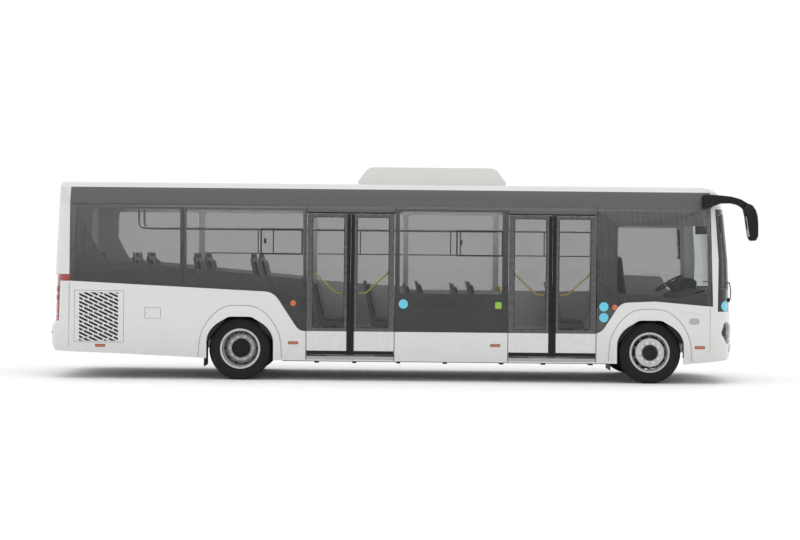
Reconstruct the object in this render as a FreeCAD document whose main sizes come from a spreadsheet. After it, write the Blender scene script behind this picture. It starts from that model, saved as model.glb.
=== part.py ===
import FreeCAD, Part
import math
import os

import Sketcher
from FreeCAD import Placement, Rotation, Vector

# City bus, low floor, two double doorways on its right side.
# +X is forward, +Y is the left side, +Z is up, and all sizes are millimetres.
# The origin is on the road under the middle of the overall box.

os.makedirs("parts", exist_ok=True)
doc = FreeCAD.newDocument("city_bus")

# ---------------------------------------------------------------- driving sizes
SIZES = (
    # body envelope
    ("rear_reach", 5141), ("front_reach", 4965), ("mirror_reach", 5141), ("body_width", 2500),
    ("roof_top", 2865), ("wall", 60), ("pane", 6), ("panel_gap", 5),
    ("front_crown", 3500), ("rear_crown", 14000), ("front_corner", 360), ("rear_corner", 300),
    ("roof_seam", 2545), ("side_top", 2500), ("cove_lean", 95), ("cove_top", 2780),
    ("eave_run", 250), ("rear_seam_x", -4812), ("front_seam_x", 4487), ("belt", 720),
    ("rear_belt", 1418), ("front_belt", 1172),
    # floor and frame
    ("floor_top", 358), ("floor_plate", 40), ("step_rise", 171), ("step_run", 280),
    ("rear_step_x", -1500), ("cab_step_x", 3040), ("deck_top", 700), ("engine_hump_x", -4180),
    ("engine_hump_top", 1000), ("rail_y", 520), ("rail_width", 80), ("rail_depth", 80),
    # wheels
    ("front_axle_x", 3623), ("rear_axle_x", -2330), ("tyre_radius", 452), ("tyre_width", 245),
    ("wheel_centre_y", 1075), ("disc_offset", 135), ("rim_flange", 292), ("bead_seat", 279),
    ("rim_bore", 264), ("hub_radius", 92), ("spindle_radius", 35), ("fit", 0.3),
    ("kingpin_y", 905), ("kingpin_radius", 18), ("steer_arm", 220), ("house_half", 575),
    ("rear_house_half", 525), ("house_skin", 15), ("arch_half", 485), ("arch_top", 921),
    ("arch_lip", 22), ("flare", 20), ("house_y", 640), ("rear_house_y", 650), ("house_top", 960),
    # doorways
    ("rear_door_x", -1372), ("front_door_x", 1556), ("door_width", 1280), ("leaf_low", 382),
    ("leaf_top", 2424), ("leaf_gap", 6), ("leaf_edge", 633), ("leaf_set", 4),
    ("leaf_thickness", 36), ("arm_thickness", 12), ("arm_gap", 6), ("post_back", 30),
    ("post_in", 92), ("post_radius", 16), ("leaf_end_u", 29), ("leaf_end_v", 38),
    # openings
    ("window_top", 2470), ("door_head", 2450), ("sill_low", 312),
    # roof unit and seats
    ("unit_rear", -686), ("unit_front", 1579), ("unit_height", 270), ("unit_half", 760),
    ("seat_width", 430), ("seat_height", 450), ("tube", 17),
)

dim = doc.addObject("Spreadsheet::Sheet", "Dim")
for row, (word, number) in enumerate(SIZES, start=1):
    dim.set(f"A{row}", word)
    dim.set(f"B{row}", str(number))
    dim.setAlias(f"B{row}", word)
doc.recompute()


class Size:
    """A length with its value and the sheet formula that gives it."""

    def __init__(self, value, text):
        self.value = float(value)
        self.text = text

    def __add__(self, other):
        other = as_size(other)
        return Size(self.value + other.value, f"({self.text} + {other.text})")

    def __radd__(self, other):
        return as_size(other) + self

    def __sub__(self, other):
        other = as_size(other)
        return Size(self.value - other.value, f"({self.text} - {other.text})")

    def __rsub__(self, other):
        return as_size(other) - self

    def __mul__(self, factor):
        factor = as_size(factor)
        return Size(self.value * factor.value, f"({self.text} * {factor.text})")

    __rmul__ = __mul__

    def __truediv__(self, other):
        other = as_size(other)
        return Size(self.value / other.value, f"({self.text} / {other.text})")

    def __neg__(self):
        return Size(-self.value, f"(0 - {self.text})")

    def __lt__(self, other):
        return self.value < as_size(other).value


def as_size(item):
    if isinstance(item, Size):
        return item
    return Size(item, f"{float(item):.6f}")


class Sizes:
    """Every driving size, by its name in the sheet."""


S = Sizes()
for word, number in SIZES:
    setattr(S, word, Size(dim.get(word), "Dim." + word))

HALF = S.body_width / 2


# ---------------------------------------------------------------- building tools
def bind(piece, **sizes):
    for key, size in sizes.items():
        size = as_size(size)
        setattr(piece, key, size.value)
        if "Dim." in size.text:
            piece.setExpression(key, size.text)


def place(piece, spot, turn=Rotation()):
    piece.Placement = Placement(Vector(*(as_size(item).value for item in spot)), turn)
    for axis, item in zip("xyz", spot):
        size = as_size(item)
        if "Dim." in size.text:
            piece.setExpression(f".Placement.Base.{axis}", size.text)
    return piece


def box(x, y, z):
    """A block between two sizes along each axis."""
    piece = doc.addObject("Part::Box", "block")
    spans = [sorted(pair, key=lambda item: as_size(item).value) for pair in (x, y, z)]
    bind(piece, Length=as_size(spans[0][1]) - spans[0][0], Width=as_size(spans[1][1]) - spans[1][0],
         Height=as_size(spans[2][1]) - spans[2][0])
    return place(piece, [pair[0] for pair in spans])


TURNS = {
    "x": Rotation(Vector(0, 1, 0), 90),
    "y": Rotation(Vector(1, 0, 0), -90),
    "z": Rotation(),
}


def rod(axis, start, length, radius):
    """A round bar from start, along one axis."""
    piece = doc.addObject("Part::Cylinder", "rod")
    bind(piece, Radius=radius, Height=length)
    return place(piece, start, TURNS[axis])


def tube_between(start, end, radius):
    """A round bar from one point to another."""
    first = Vector(*(as_size(item).value for item in start))
    last = Vector(*(as_size(item).value for item in end))
    piece = doc.addObject("Part::Cylinder", "tube")
    bind(piece, Radius=radius, Height=(last - first).Length)
    return place(piece, start, Rotation(Vector(0, 0, 1), last - first))


FRAMES = {
    "xy": Rotation(),
    "xz": Rotation(Vector(1, 0, 0), 90),
    "yz": Rotation(Vector(1, 1, 1), 120),
}


def outline(plane, corners, shift=(0, 0, 0)):
    """A closed sketch of straight runs, each corner bound to the sheet."""
    sketch = doc.addObject("Sketcher::SketchObject", "outline")
    place(sketch, shift, FRAMES[plane])
    spots = [(as_size(corner[0]), as_size(corner[1])) for corner in corners]
    count = len(spots)
    for i, (across, up) in enumerate(spots):
        after = spots[(i + 1) % count]
        start = Vector(across.value, up.value, 0)
        sketch.addGeometry(Part.LineSegment(start, Vector(after[0].value, after[1].value, 0)), False)
    for i in range(count):
        sketch.addConstraint(Sketcher.Constraint("Coincident", i, 2, (i + 1) % count, 1))
    for i, spot in enumerate(spots):
        for kind, size in zip(("DistanceX", "DistanceY"), spot):
            number = sketch.addConstraint(Sketcher.Constraint(kind, -1, 1, i, 1, size.value))
            if "Dim." in size.text:
                sketch.setExpression(f"Constraints[{number}]", size.text)
    return sketch


def prism(plane, corners, low, high):
    """A plate with the outline's shape; a corner's third item is its radius."""
    low, high = as_size(low), as_size(high)
    if plane == "xz":
        shift, length = (0, high, 0), high - low
    elif plane == "yz":
        shift, length = (low, 0, 0), high - low
    else:
        shift, length = (0, 0, low), high - low
    piece = doc.addObject("Part::Extrusion", "plate")
    piece.Base = outline(plane, corners, shift)
    piece.DirMode = "Normal"
    piece.Solid = True
    bind(piece, LengthFwd=length)
    rounds = [corner for corner in corners if len(corner) > 2]
    if not rounds:
        return piece
    doc.recompute()
    pick = {"xy": (0, 1), "xz": (0, 2), "yz": (1, 2)}[plane]
    edges = []
    for across, up, radius in rounds:
        for number, edge in enumerate(piece.Shape.Edges, start=1):
            ends = [(vertex.Point[pick[0]], vertex.Point[pick[1]]) for vertex in edge.Vertexes]
            near = [math.hypot(end[0] - as_size(across).value, end[1] - as_size(up).value) < 0.01
                    for end in ends]
            if len(ends) == 2 and all(near):
                value = as_size(radius).value
                edges.append((number, value, value))
    rounded = doc.addObject("Part::Fillet", "rounded")
    rounded.Base = piece
    rounded.Edges = edges
    return rounded


def cut(base, *tools):
    result = doc.addObject("Part::Cut", "cut")
    result.Base = base
    result.Tool = tools[0] if len(tools) == 1 else fuse(*tools)
    return result


def fuse(*pieces):
    result = doc.addObject("Part::MultiFuse", "fused")
    result.Shapes = list(pieces)
    return result


def common(first, second):
    result = doc.addObject("Part::MultiCommon", "shared")
    result.Shapes = [first, second]
    return result


def group(*pieces):
    result = doc.addObject("Part::Compound", "group")
    result.Links = list(pieces)
    return result


def mirrored(piece):
    """The same piece on the left side."""
    result = doc.addObject("Part::Mirroring", "mirrored")
    result.Source = piece
    result.Normal = Vector(0, 1, 0)
    return result


def form(shape):
    """A solid that Part's own functions make."""
    piece = doc.addObject("Part::Feature", "form")
    piece.Shape = shape
    return piece


def turned(points, centre, axis=Vector(0, 1, 0)):
    """A ring from (radius, distance along the axis) points about centre, axis along Y."""
    wire = Part.makePolygon([Vector(r, a, 0) for r, a in points] + [Vector(*points[0], 0)])
    ring = Part.Face(wire).revolve(Vector(), Vector(0, 1, 0), 360)
    piece = form(ring)
    return place(piece, centre)


NODES = []


def node(name, piece):
    """Name a finished sub-part; its name is also its file's."""
    piece.Label = name
    NODES.append(piece)
    return piece


# ---------------------------------------------------------------- body envelope
# height, and how far the front and the rear face stand back from their reach there
SECTIONS = (
    (250, 70, 60), (395, 24, 42), (496, 16, 0), (772, 0, 0), (802, 2, 34), (860, 8, 58),
    (1100, 35, 65), (1490, 48, 75), (1515, 49, 46), (1810, 61, 58), (2545, 137, 91),
    (2788, 215, 105), (2840, 300, 125), (2865, 450, 190),
)
SKIRT_LINE = ((-5300, 404), (-4812, 393), (-4094, 371), (-2836, 316), (-1786, 292),
              (4136, 290), (4735, 345), (5100, 392))
DOME_LOW = 2700


def end_arcs(reach, crown, corner, side, height, facing):
    """Corner and crown arcs of one end of the body's plan, from left to right."""
    hub = reach - facing * crown
    lift = math.asin((side - corner) / (crown - corner))
    corner_x = hub + facing * (crown - corner) * math.cos(lift)
    corner_y = side - corner
    lean = (lift + math.pi / 2) / 2
    start = Vector(corner_x, side, height)
    middle = Vector(corner_x + facing * corner * math.cos(lean), corner_y + corner * math.sin(lean),
                    height)
    end = Vector(hub + facing * crown * math.cos(lift), crown * math.sin(lift), height)
    nose = Vector(reach, 0, height)
    right = [Vector(spot.x, -spot.y, spot.z) for spot in (end, middle, start)]
    return [Part.Arc(start, middle, end), Part.Arc(end, nose, right[0]), Part.Arc(*right)]


def plan_wire(height, front_x, rear_x, side, inset):
    """The body's plan at one height: flat sides, crowned ends and round corners."""
    front = end_arcs(front_x, S.front_crown.value - inset, S.front_corner.value - inset, side,
                     height, 1)
    rear = end_arcs(rear_x, S.rear_crown.value - inset, S.rear_corner.value - inset, side,
                    height, -1)
    right = Part.LineSegment(front[-1].EndPoint, rear[-1].EndPoint)
    left = Part.LineSegment(rear[0].StartPoint, front[0].StartPoint)
    edges = [arc.toShape() for arc in front] + [right.toShape()]
    edges += [arc.toShape() for arc in reversed(rear)] + [left.toShape()]
    return Part.Wire(Part.sortEdges(edges)[0])


def eave_face(inset):
    """The body's cross section: upright sides, leaning cove, round eaves."""
    side = HALF.value - inset
    low = 200
    knee = Vector(0, side, S.side_top.value)
    brow = Vector(0, side - S.cove_lean.value, S.cove_top.value - 0.4 * inset)
    roof = Vector(0, brow.y - S.eave_run.value, S.roof_top.value - inset)
    cove = Vector(0, (knee.y + brow.y) / 2 + 12, (knee.z + brow.z) / 2)
    eave = Vector(0, (brow.y + roof.y) / 2 + 22, (brow.z + roof.z) / 2 + 26)
    over = lambda spot: Vector(spot.x, -spot.y, spot.z)
    foot = Vector(0, side, low)
    edges = [
        Part.LineSegment(foot, knee), Part.Arc(knee, cove, brow), Part.Arc(brow, eave, roof),
        Part.LineSegment(roof, over(roof)), Part.Arc(over(roof), over(eave), over(brow)),
        Part.Arc(over(brow), over(cove), over(knee)), Part.LineSegment(over(knee), over(foot)),
        Part.LineSegment(over(foot), foot),
    ]
    return Part.Face(Part.Wire([edge.toShape() for edge in edges]))


def body_form(inset):
    """The body's outside, or a form that lies inset within it."""
    inset = as_size(inset).value
    wires = []
    for height, front_back, rear_back in SECTIONS:
        drop = inset if height > DOME_LOW else 0
        wires.append(plan_wire(height - drop, S.front_reach.value - front_back - inset,
                               rear_back + inset - S.rear_reach.value, HALF.value - inset, inset))
    hull = Part.makeLoft(wires, True, True)
    tunnel = eave_face(inset).extrude(Vector(12000, 0, 0))
    tunnel.translate(Vector(-6000, 0, 0))
    return form(hull.common(tunnel))


outer = body_form(0)
pane_back = body_form(S.pane)
inner = body_form(S.wall)
below_skirt = prism("xz", list(SKIRT_LINE) + [(5300, 392), (5300, 0), (-5300, 0)], -1400, 1400)
body = cut(outer, below_skirt)
shell = cut(body, inner)
frame_shell = cut(pane_back, inner, below_skirt)
skin = cut(body, pane_back)

# ---------------------------------------------------------------- panel regions
SEAM_LOW = (S.front_seam_x + 73, 200)
SEAM_BELT = (S.front_seam_x + 43, S.front_belt - 44)
SEAM_TOP = (S.front_seam_x, S.roof_seam)
BELT_LINE = (
    (S.rear_seam_x, S.rear_belt), (-1850, 1282, 250), (-1475, S.belt, 150), (2900, S.belt, 200),
    (3190, S.front_belt, 200), (3684, S.front_belt + 25), SEAM_BELT,
)
WINDOWS_REAR = (
    ((-4490, S.window_top, 50), (-4495, 2064, 60), (-4317, 1727, 120), (-3207, 1635, 50),
     (-3215, S.window_top, 50)),
    ((-3124, S.window_top, 50), (-3116, 1620, 50), (-1419, 1474, 50), (-1429, S.window_top, 50)),
)
WINDOW_MIDDLE = ((-26, 2470, 50), (-21, 1281, 40), (1466, 1278, 40), (1467, 2470, 50))
WINDOW_DRIVER = ((3141, 2291, 60), (3132, 1315, 60), (3550, 1284), (4084, 1246, 200),
                 (4464, 1354, 90), (4439, 2299, 70))
WINDOW_CAB = ((3141, 2291, 60), (3132, 1560, 60), (4150, 1530, 80), (4230, 1310, 60),
              (4464, 1354, 90), (4439, 2299, 70))
FAR = 1400
NEAR = 1000


def side_region(corners, side, near=NEAR, far=FAR):
    """A prism across one side wall; side is -1 for the right and 1 for the left."""
    low, high = sorted((side * near, side * far))
    return prism("xz", corners, low, high)


def door_hole(start):
    return box((start, start + S.door_width), (-FAR, -NEAR), (S.sill_low, S.door_head))


def arch_corners(axle, half, top):
    """A wheel arch: upright feet, leaning shoulders, flat top."""
    return ((axle - half, 100), (axle - half, 0.62 * top, 120), (axle - 0.36 * half, top, 120),
            (axle + 0.36 * half, top, 120), (axle + half, 0.62 * top, 120), (axle + half, 100))


AXLES = ((S.front_axle_x, S.house_half, S.house_y), (S.rear_axle_x, S.rear_house_half, S.rear_house_y))


# an arch's flare: its crease on the side wall and its crown further out, as half outlines
# (along from the axle, up from the road)
FLARE_CREASE = ((610, 100), (597, 580), (541, 745), (430, 918), (282, 1040), (160, 1085))
FLARE_CROWN = ((535, 100), (527, 555), (476, 705), (378, 858), (246, 962), (138, 1000))


def flare_wire(axle, half_outline, side, out):
    """One closed outline of a flare, so far out from the body's middle."""
    corners = [(axle - along, up) for along, up in half_outline]
    corners += [(axle + along, up) for along, up in reversed(half_outline)]
    return outline("xz", corners, (0, side * out, 0))


def arch_flare(axle, side):
    """A band that swells from its crease to its crown, round a wheel arch."""
    flare = doc.addObject("Part::Loft", "flare")
    flare.Sections = [flare_wire(axle, FLARE_CREASE, side, HALF - 5),
                      flare_wire(axle, FLARE_CROWN, side, HALF + S.flare)]
    flare.Solid = True
    flare.Ruled = True
    return cut(flare, below_skirt)


def lower_side(side):
    """White panel below the belt, with its wheel arches."""
    corners = list(BELT_LINE) + [SEAM_LOW, (S.rear_seam_x, 200)]
    panel = common(shell, side_region(corners, side))
    panel = fuse(panel, *(arch_flare(axle, side) for axle, _, _ in AXLES))
    lip = HALF - S.arch_lip
    for axle, half, _ in AXLES:
        arch = side_region(arch_corners(axle, S.arch_half, S.arch_top), side)
        low, high = (side * NEAR, side * lip)
        house = box((axle - half, axle + half), (low, high), (100, S.house_top))
        panel = cut(panel, arch, house)
    return panel


def upper_side(side, windows, openings):
    """Window frame above the belt, behind the panes."""
    corners = list(BELT_LINE) + [SEAM_TOP, (S.rear_seam_x, S.roof_seam)]
    frame = common(frame_shell, side_region(corners, side))
    panes = common(skin, side_region(corners, side))
    for window in windows:
        frame = cut(frame, side_region(window, side))
    for opening in openings:
        frame = cut(frame, opening)
        panes = cut(panes, opening)
    return frame, panes


def upright_gap(x, side, low=S.belt, high=S.roof_seam):
    """The open joint between two panes."""
    return box((x - S.panel_gap / 2, x + S.panel_gap / 2), (side * NEAR, side * FAR),
               (low - 20, high + 20))


DOORS = (S.rear_door_x, S.front_door_x)
GRILLE = (-4736, -4016, 530, 1282)
FLAP = (-3716, -3480, 881, 1042)


def side_box(span, side, near=NEAR, far=FAR, grow=0):
    """A block across a side wall from (rear, front, low, high)."""
    rear, front, low, high = span
    return box((rear - grow, front + grow), (side * near, side * far), (low - grow, high + grow))


def pivot_pins(span, gap, radius, inset, sink):
    """Upright pins at a side door's front edge, and the holes that take them."""
    x, y = span[1] - gap - inset[0], inset[1] - HALF
    low, high = span[2] + gap, span[3] - gap
    pins, holes = [], []
    for z in (low - gap - sink, high - 10):
        pins.append(rod("z", (x, y, z), gap + sink + 10, radius))
        holes.append(rod("z", (x, y, z - 1), gap + sink + 12, radius + S.fit))
    return pins, holes


grille_pins, grille_holes = pivot_pins(GRILLE, S.panel_gap, 4, (6, 7), 12)
flap_pins, flap_holes = pivot_pins(FLAP, S.panel_gap, 2.5, (4, 4), 8)
right_lower = cut(lower_side(-1), door_hole(DOORS[0]), door_hole(DOORS[1]), side_box(GRILLE, -1),
                  side_box(FLAP, -1, HALF - 30), *grille_holes, *flap_holes)
frame, panes = upper_side(-1, WINDOWS_REAR + (WINDOW_MIDDLE, WINDOW_DRIVER),
                          [door_hole(start) for start in DOORS])
middle_joint = box((DOORS[0] + S.door_width - 20, DOORS[1] + 20), (-NEAR, -FAR),
                   (1268 - S.panel_gap, 1268))
jamb_joints = fuse(*(upright_gap(x, -1, 200) for start in DOORS
                     for x in (start - S.panel_gap / 2, start + S.door_width + S.panel_gap / 2)))
node("right_side_panel", cut(right_lower, jamb_joints))
node("right_window_frame", cut(frame, jamb_joints))
node("right_glass", cut(panes, upright_gap(-3166, -1), jamb_joints, middle_joint))

left_windows = WINDOWS_REAR + (
    ((-1330, S.window_top, 50), (-1330, 1420, 50), (40, 1330, 50), (40, S.window_top, 50)),
    ((120, S.window_top, 50), (120, 1281, 50), (1466, 1281, 50), (1466, S.window_top, 50)),
    ((1556, S.window_top, 50), (1556, 1281, 50), (3010, 1281, 50), (3010, S.window_top, 50)),
    WINDOW_CAB,
)
left_frame, left_panes = upper_side(1, left_windows, [])
node("left_side_panel", lower_side(1))
node("left_window_frame", left_frame)
node("left_glass", cut(left_panes, *(upright_gap(x, 1) for x in (-3166, -1375, 80, 1511, 3071))))

# roof and front
above = box((-5400, 5400), (-FAR, FAR), (S.roof_seam, 3000))
node("roof_shell", common(shell, above))

front_corners = (SEAM_LOW, SEAM_BELT, SEAM_TOP, (5300, 2545), (5300, 200))
front_region = prism("xz", front_corners, -FAR, FAR)
SCREEN = ((4604, 1056), (4612, 1809), (4556, 2545), (5300, 2545), (5300, 1056))
screen_region = prism("xz", SCREEN, -FAR, FAR)
screen_hole = prism("xz", ((4650, 1375, 60), (4656, 1809), (4604, 2480, 60), (5300, 2480),
                           (5300, 1375)), -FAR, FAR)
LAMP = ((-1204, 740, 80), (-1150, 925, 60), (-770, 770, 60), (-790, 640, 60), (-1100, 567, 80))
lamp_right = prism("yz", LAMP, 4600, 5100)
lamp_left = mirrored(lamp_right)
screen = common(skin, screen_region)
node("windscreen", screen)
node("front_panel", cut(common(shell, front_region), screen, screen_hole, lamp_right, lamp_left))
lamp_back = cut(body, body_form(S.wall / 2))
node("front_lamps", group(common(lamp_back, lamp_right), common(lamp_back, lamp_left)))

# rear
rear_region = box((-5400, S.rear_seam_x), (-FAR, FAR), (200, S.roof_seam))
bumper_region = box((-5400, S.rear_seam_x), (-FAR, FAR), (200, 801))
HATCH = (760, 870, 1485)
hatch_hole = box((-5400, -4900), (-HATCH[0], HATCH[0]), (HATCH[1], HATCH[2]))
hatch_fill = box((-5400, -4900), (S.panel_gap - HATCH[0], HATCH[0] - S.panel_gap),
                 (HATCH[1] + S.panel_gap, HATCH[2] - S.panel_gap))
REAR_PANE = (1030, 1590, 2460)
rear_pane_region = box((-5400, -4900), (-REAR_PANE[0], REAR_PANE[0]), (REAR_PANE[1], REAR_PANE[2]))
rear_hole = box((-5400, -4900), (50 - REAR_PANE[0], REAR_PANE[0] - 50),
                (REAR_PANE[1] + 50, REAR_PANE[2] - 50))
TAIL = ((S.rear_seam_x, 1415), (S.rear_seam_x, 1514), (-5300, 1514), (-5300, 831), (-4975, 831),
        (-4961, 1415))
tail_right = prism("xz", TAIL, -FAR, -1020)
tail_left = prism("xz", TAIL, 1020, FAR)
rear_pane = common(skin, rear_pane_region)
node("rear_window", rear_pane)
rear_shell = common(shell, rear_region)
node("rear_bumper", common(rear_shell, bumper_region))
HINGE_X, HINGE_Z, HINGE_RADIUS = -5074, 1477, 7
sleeves, knuckles = [], []
for side in (-1, 1):
    y = side * 400
    sleeve = fuse(rod("y", (HINGE_X, y - 20, HINGE_Z), 40, HINGE_RADIUS),
                  box((HINGE_X - 4, -5050), (y - 20, y + 20), (HINGE_Z - 28, HINGE_Z)))
    sleeves.append(cut(sleeve, rod("y", (HINGE_X, y - 25, HINGE_Z), 50, 3 + S.fit)))
    knuckles.append(rod("y", (HINGE_X, y - 34, HINGE_Z), 68, 3))
    for low in (y - 34, y + 20 + S.fit):
        knuckles.append(rod("y", (HINGE_X, low, HINGE_Z), 14 - S.fit, HINGE_RADIUS))
        knuckles.append(box((HINGE_X - 5, -5050), (low, low + 14 - S.fit),
                            (HATCH[2] - 4, HATCH[2] + 12)))
upper_rear = cut(rear_shell, bumper_region, hatch_hole, rear_pane, rear_hole, tail_right, tail_left)
node("rear_panel", fuse(upper_rear, *knuckles))
node("rear_lamps", group(common(lamp_back, tail_right), common(lamp_back, tail_left)))
node("rear_hatch", fuse(common(rear_shell, hatch_fill), *sleeves))

# side doors of the engine bay and the filler
grille_fill = side_box(GRILLE, -1, HALF - 40, FAR, -S.panel_gap)
grille_door = common(shell, grille_fill)
SLOTS = (-4664, -4097, 550, 1252)
SLOT_PITCH, SLOT_LENGTH, SLOT_DEPTH, ROW_PITCH, SLOT_SLOPE = 145, 122, 24, 55.5, 0.46


def slot_prisms():
    """Leaning slots in rows, every second row half a pitch along, cut off at the field's edge."""
    rear, front, low, high = SLOTS
    slots = []
    rows = int((high - low + SLOT_SLOPE * (front - rear)) / ROW_PITCH)
    for row in range(rows + 1):
        for step in range(-1, 5):
            x = rear + (step + (row % 2) / 2) * SLOT_PITCH
            z = low + row * ROW_PITCH - SLOT_SLOPE * (x - rear)
            start, end = max(x, rear), min(x + SLOT_LENGTH, front)
            at = lambda place: z - SLOT_SLOPE * (place - x)
            if end - start < 15 or at(end) < low - 2 or at(start) + SLOT_DEPTH > high + 2:
                continue
            corners = ((start, at(start)), (end, at(end)), (end, at(end) + SLOT_DEPTH),
                       (start, at(start) + SLOT_DEPTH))
            slots.append(side_region(corners, -1))
    return slots


node("engine_side_door", fuse(cut(grille_door, group(*slot_prisms())), *grille_pins))
flap = common(shell, side_box(FLAP, -1, HALF - 20, FAR, -S.panel_gap))
node("fuel_flap", fuse(flap, *flap_pins))

# ---------------------------------------------------------------- floor and underframe
INSIDE = HALF - S.wall
REAR_STEP = S.rear_step_x - S.step_run
STEP_TOP = S.floor_top + S.step_rise
PLATE = S.floor_plate
FLOOR_REAR, FLOOR_FRONT = -4730, 4455
floor = prism("xz", (
    (FLOOR_REAR, S.engine_hump_top), (S.engine_hump_x, S.engine_hump_top),
    (S.engine_hump_x, S.deck_top), (REAR_STEP, S.deck_top), (REAR_STEP, STEP_TOP),
    (S.rear_step_x, STEP_TOP), (S.rear_step_x, S.floor_top), (S.cab_step_x, S.floor_top),
    (S.cab_step_x, S.deck_top), (FLOOR_FRONT, S.deck_top), (FLOOR_FRONT, S.deck_top - PLATE),
    (S.cab_step_x + PLATE, S.deck_top - PLATE), (S.cab_step_x + PLATE, S.floor_top - PLATE),
    (S.rear_step_x - PLATE, S.floor_top - PLATE), (S.rear_step_x - PLATE, STEP_TOP - PLATE),
    (REAR_STEP - PLATE, STEP_TOP - PLATE), (REAR_STEP - PLATE, S.deck_top - PLATE),
    (S.engine_hump_x - PLATE, S.deck_top - PLATE),
    (S.engine_hump_x - PLATE, S.engine_hump_top - PLATE), (FLOOR_REAR, S.engine_hump_top - PLATE),
), -INSIDE, INSIDE)
covers, COVERS = [], []
for axle, half, house_y in AXLES:
    for side in (-1, 1):
        wall_y = side * INSIDE
        inner_y = side * house_y
        skin_y = side * (house_y - S.house_skin)
        solid = box((axle - half - S.house_skin, axle + half + S.house_skin), (skin_y, wall_y),
                    (S.deck_top - 140, S.house_top + S.house_skin))
        space = box((axle - half, axle + half), (inner_y, side * (HALF + 10)), (0, S.house_top))
        floor = cut(floor, space)
        covers.append(cut(solid, space))
        COVERS.append(solid)
thresholds = [box((start + S.leaf_gap, start + S.door_width - S.leaf_gap), (-INSIDE, 4 - HALF),
                  (S.sill_low, S.floor_top)) for start in DOORS]
# closed cowl over the side grille's bay, and the bulkhead and shelf behind the rear seats
COWL_REAR, COWL_FRONT, COWL_TOP, COWL_Y, SHEET = -4730, -3970, 1330, 80, 15
cowl_outside = fuse(
    box((COWL_REAR, COWL_FRONT), (-INSIDE, COWL_Y - INSIDE), (S.engine_hump_top - PLATE, COWL_TOP)),
    box((S.engine_hump_x, COWL_FRONT), (-INSIDE, COWL_Y - INSIDE), (S.deck_top, COWL_TOP)))
cowl_skin = cut(cowl_outside, box((COWL_REAR + SHEET, COWL_FRONT - SHEET),
                                  (-INSIDE - 10, COWL_Y - SHEET - INSIDE),
                                  (S.deck_top - 10, COWL_TOP - SHEET)))
bulkhead = box((FLOOR_REAR, FLOOR_REAR + SHEET), (-INSIDE, INSIDE), (S.engine_hump_top, 1560))
shelf = box((-4985, FLOOR_REAR + 20), (-940, 940), (1540, 1560))
FLOOR = fuse(floor, *covers, *thresholds, cowl_skin, bulkhead, shelf)

RAIL_TOP, RAIL_LOW = S.deck_top - PLATE, S.floor_top - PLATE
DEPTH = S.rail_depth
rail_line = (
    (-4780, RAIL_TOP), (REAR_STEP - 220, RAIL_TOP), (S.rear_step_x - 190, RAIL_LOW),
    (S.cab_step_x + 60, RAIL_LOW), (S.cab_step_x + 150, RAIL_TOP), (4400, RAIL_TOP),
    (4400, RAIL_TOP - DEPTH), (S.cab_step_x + 200, RAIL_TOP - DEPTH),
    (S.cab_step_x + 110, RAIL_LOW - DEPTH), (S.rear_step_x - 250, RAIL_LOW - DEPTH),
    (REAR_STEP - 280, RAIL_TOP - DEPTH), (-4780, RAIL_TOP - DEPTH),
)
rails = []
for side in (-1, 1):
    low, high = sorted((side * (S.rail_y + S.rail_width / 2), side * (S.rail_y - S.rail_width / 2)))
    rails.append(prism("xz", rail_line, low, high))
bearers = []
for x in (-1250, -700, -60, 620, 1440, 2050, 2740):
    bearers.append(box((x, x + 60), (-INSIDE, INSIDE), (RAIL_LOW - 60, RAIL_LOW)))
for x in (-4240, -3600, -3000, 4250):
    bearers.append(box((x, x + 60), (30 - INSIDE, INSIDE - 30), (RAIL_TOP - 60, RAIL_TOP)))
node("underframe", fuse(*rails, *bearers))

# engine and gearbox as one block between the rails
ENGINE_HALF = 380
engine = box((-4920, -4330), (-ENGINE_HALF, ENGINE_HALF), (400, 920))
gearbox = box((-4330, -3700), (-200, 200), (340, 590))
mounts_block = [box((-4740, -4400), (side * ENGINE_HALF, side * (S.rail_y - S.rail_width / 2)),
                    (RAIL_TOP - DEPTH, RAIL_TOP - 20)) for side in (-1, 1)]
node("engine_block", fuse(engine, gearbox, *mounts_block))

# ---------------------------------------------------------------- axles
AXLE_Z = S.tyre_radius
FRONT_X, REAR_X = S.front_axle_x, S.rear_axle_x
beam = box((FRONT_X - 40, FRONT_X + 40), (-S.kingpin_y, S.kingpin_y), (AXLE_Z - 50, AXLE_Z + 50))
waist = [box((FRONT_X + edge * 20, FRONT_X + edge * 60), (120 - S.kingpin_y, S.kingpin_y - 120),
             (AXLE_Z - 32, AXLE_Z + 32)) for edge in (-1, 1)]
EYE = 48
eyes = [rod("z", (FRONT_X, side * S.kingpin_y, AXLE_Z - 55), 110, EYE) for side in (-1, 1)]
bores = [rod("z", (FRONT_X, side * S.kingpin_y, AXLE_Z - 80), 160, S.kingpin_radius + S.fit)
         for side in (-1, 1)]
springs = [rod("z", (FRONT_X, side * S.rail_y, AXLE_Z + 50), RAIL_TOP - DEPTH - AXLE_Z - 50, 70)
           for side in (-1, 1)]
node("front_axle", cut(fuse(beam, *eyes, *springs), *waist, *bores))


MATING_Y = S.wheel_centre_y - S.disc_offset
casing_end = MATING_Y - 60
casing = rod("y", (REAR_X, -casing_end, AXLE_Z), 2 * casing_end, 62)
spindle_end = MATING_Y + 110
spindle = rod("y", (REAR_X, -spindle_end, AXLE_Z), 2 * spindle_end, S.spindle_radius)
banjo = rod("x", (REAR_X - 110, 0, AXLE_Z), 260, 150)
rear_springs = [rod("z", (REAR_X, side * S.rail_y, AXLE_Z), RAIL_TOP - DEPTH - AXLE_Z, 75)
                for side in (-1, 1)]
node("rear_axle", fuse(casing, spindle, banjo, *rear_springs))

# ---------------------------------------------------------------- wheels
def values(*sizes):
    return tuple(as_size(size).value for size in sizes)


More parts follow.
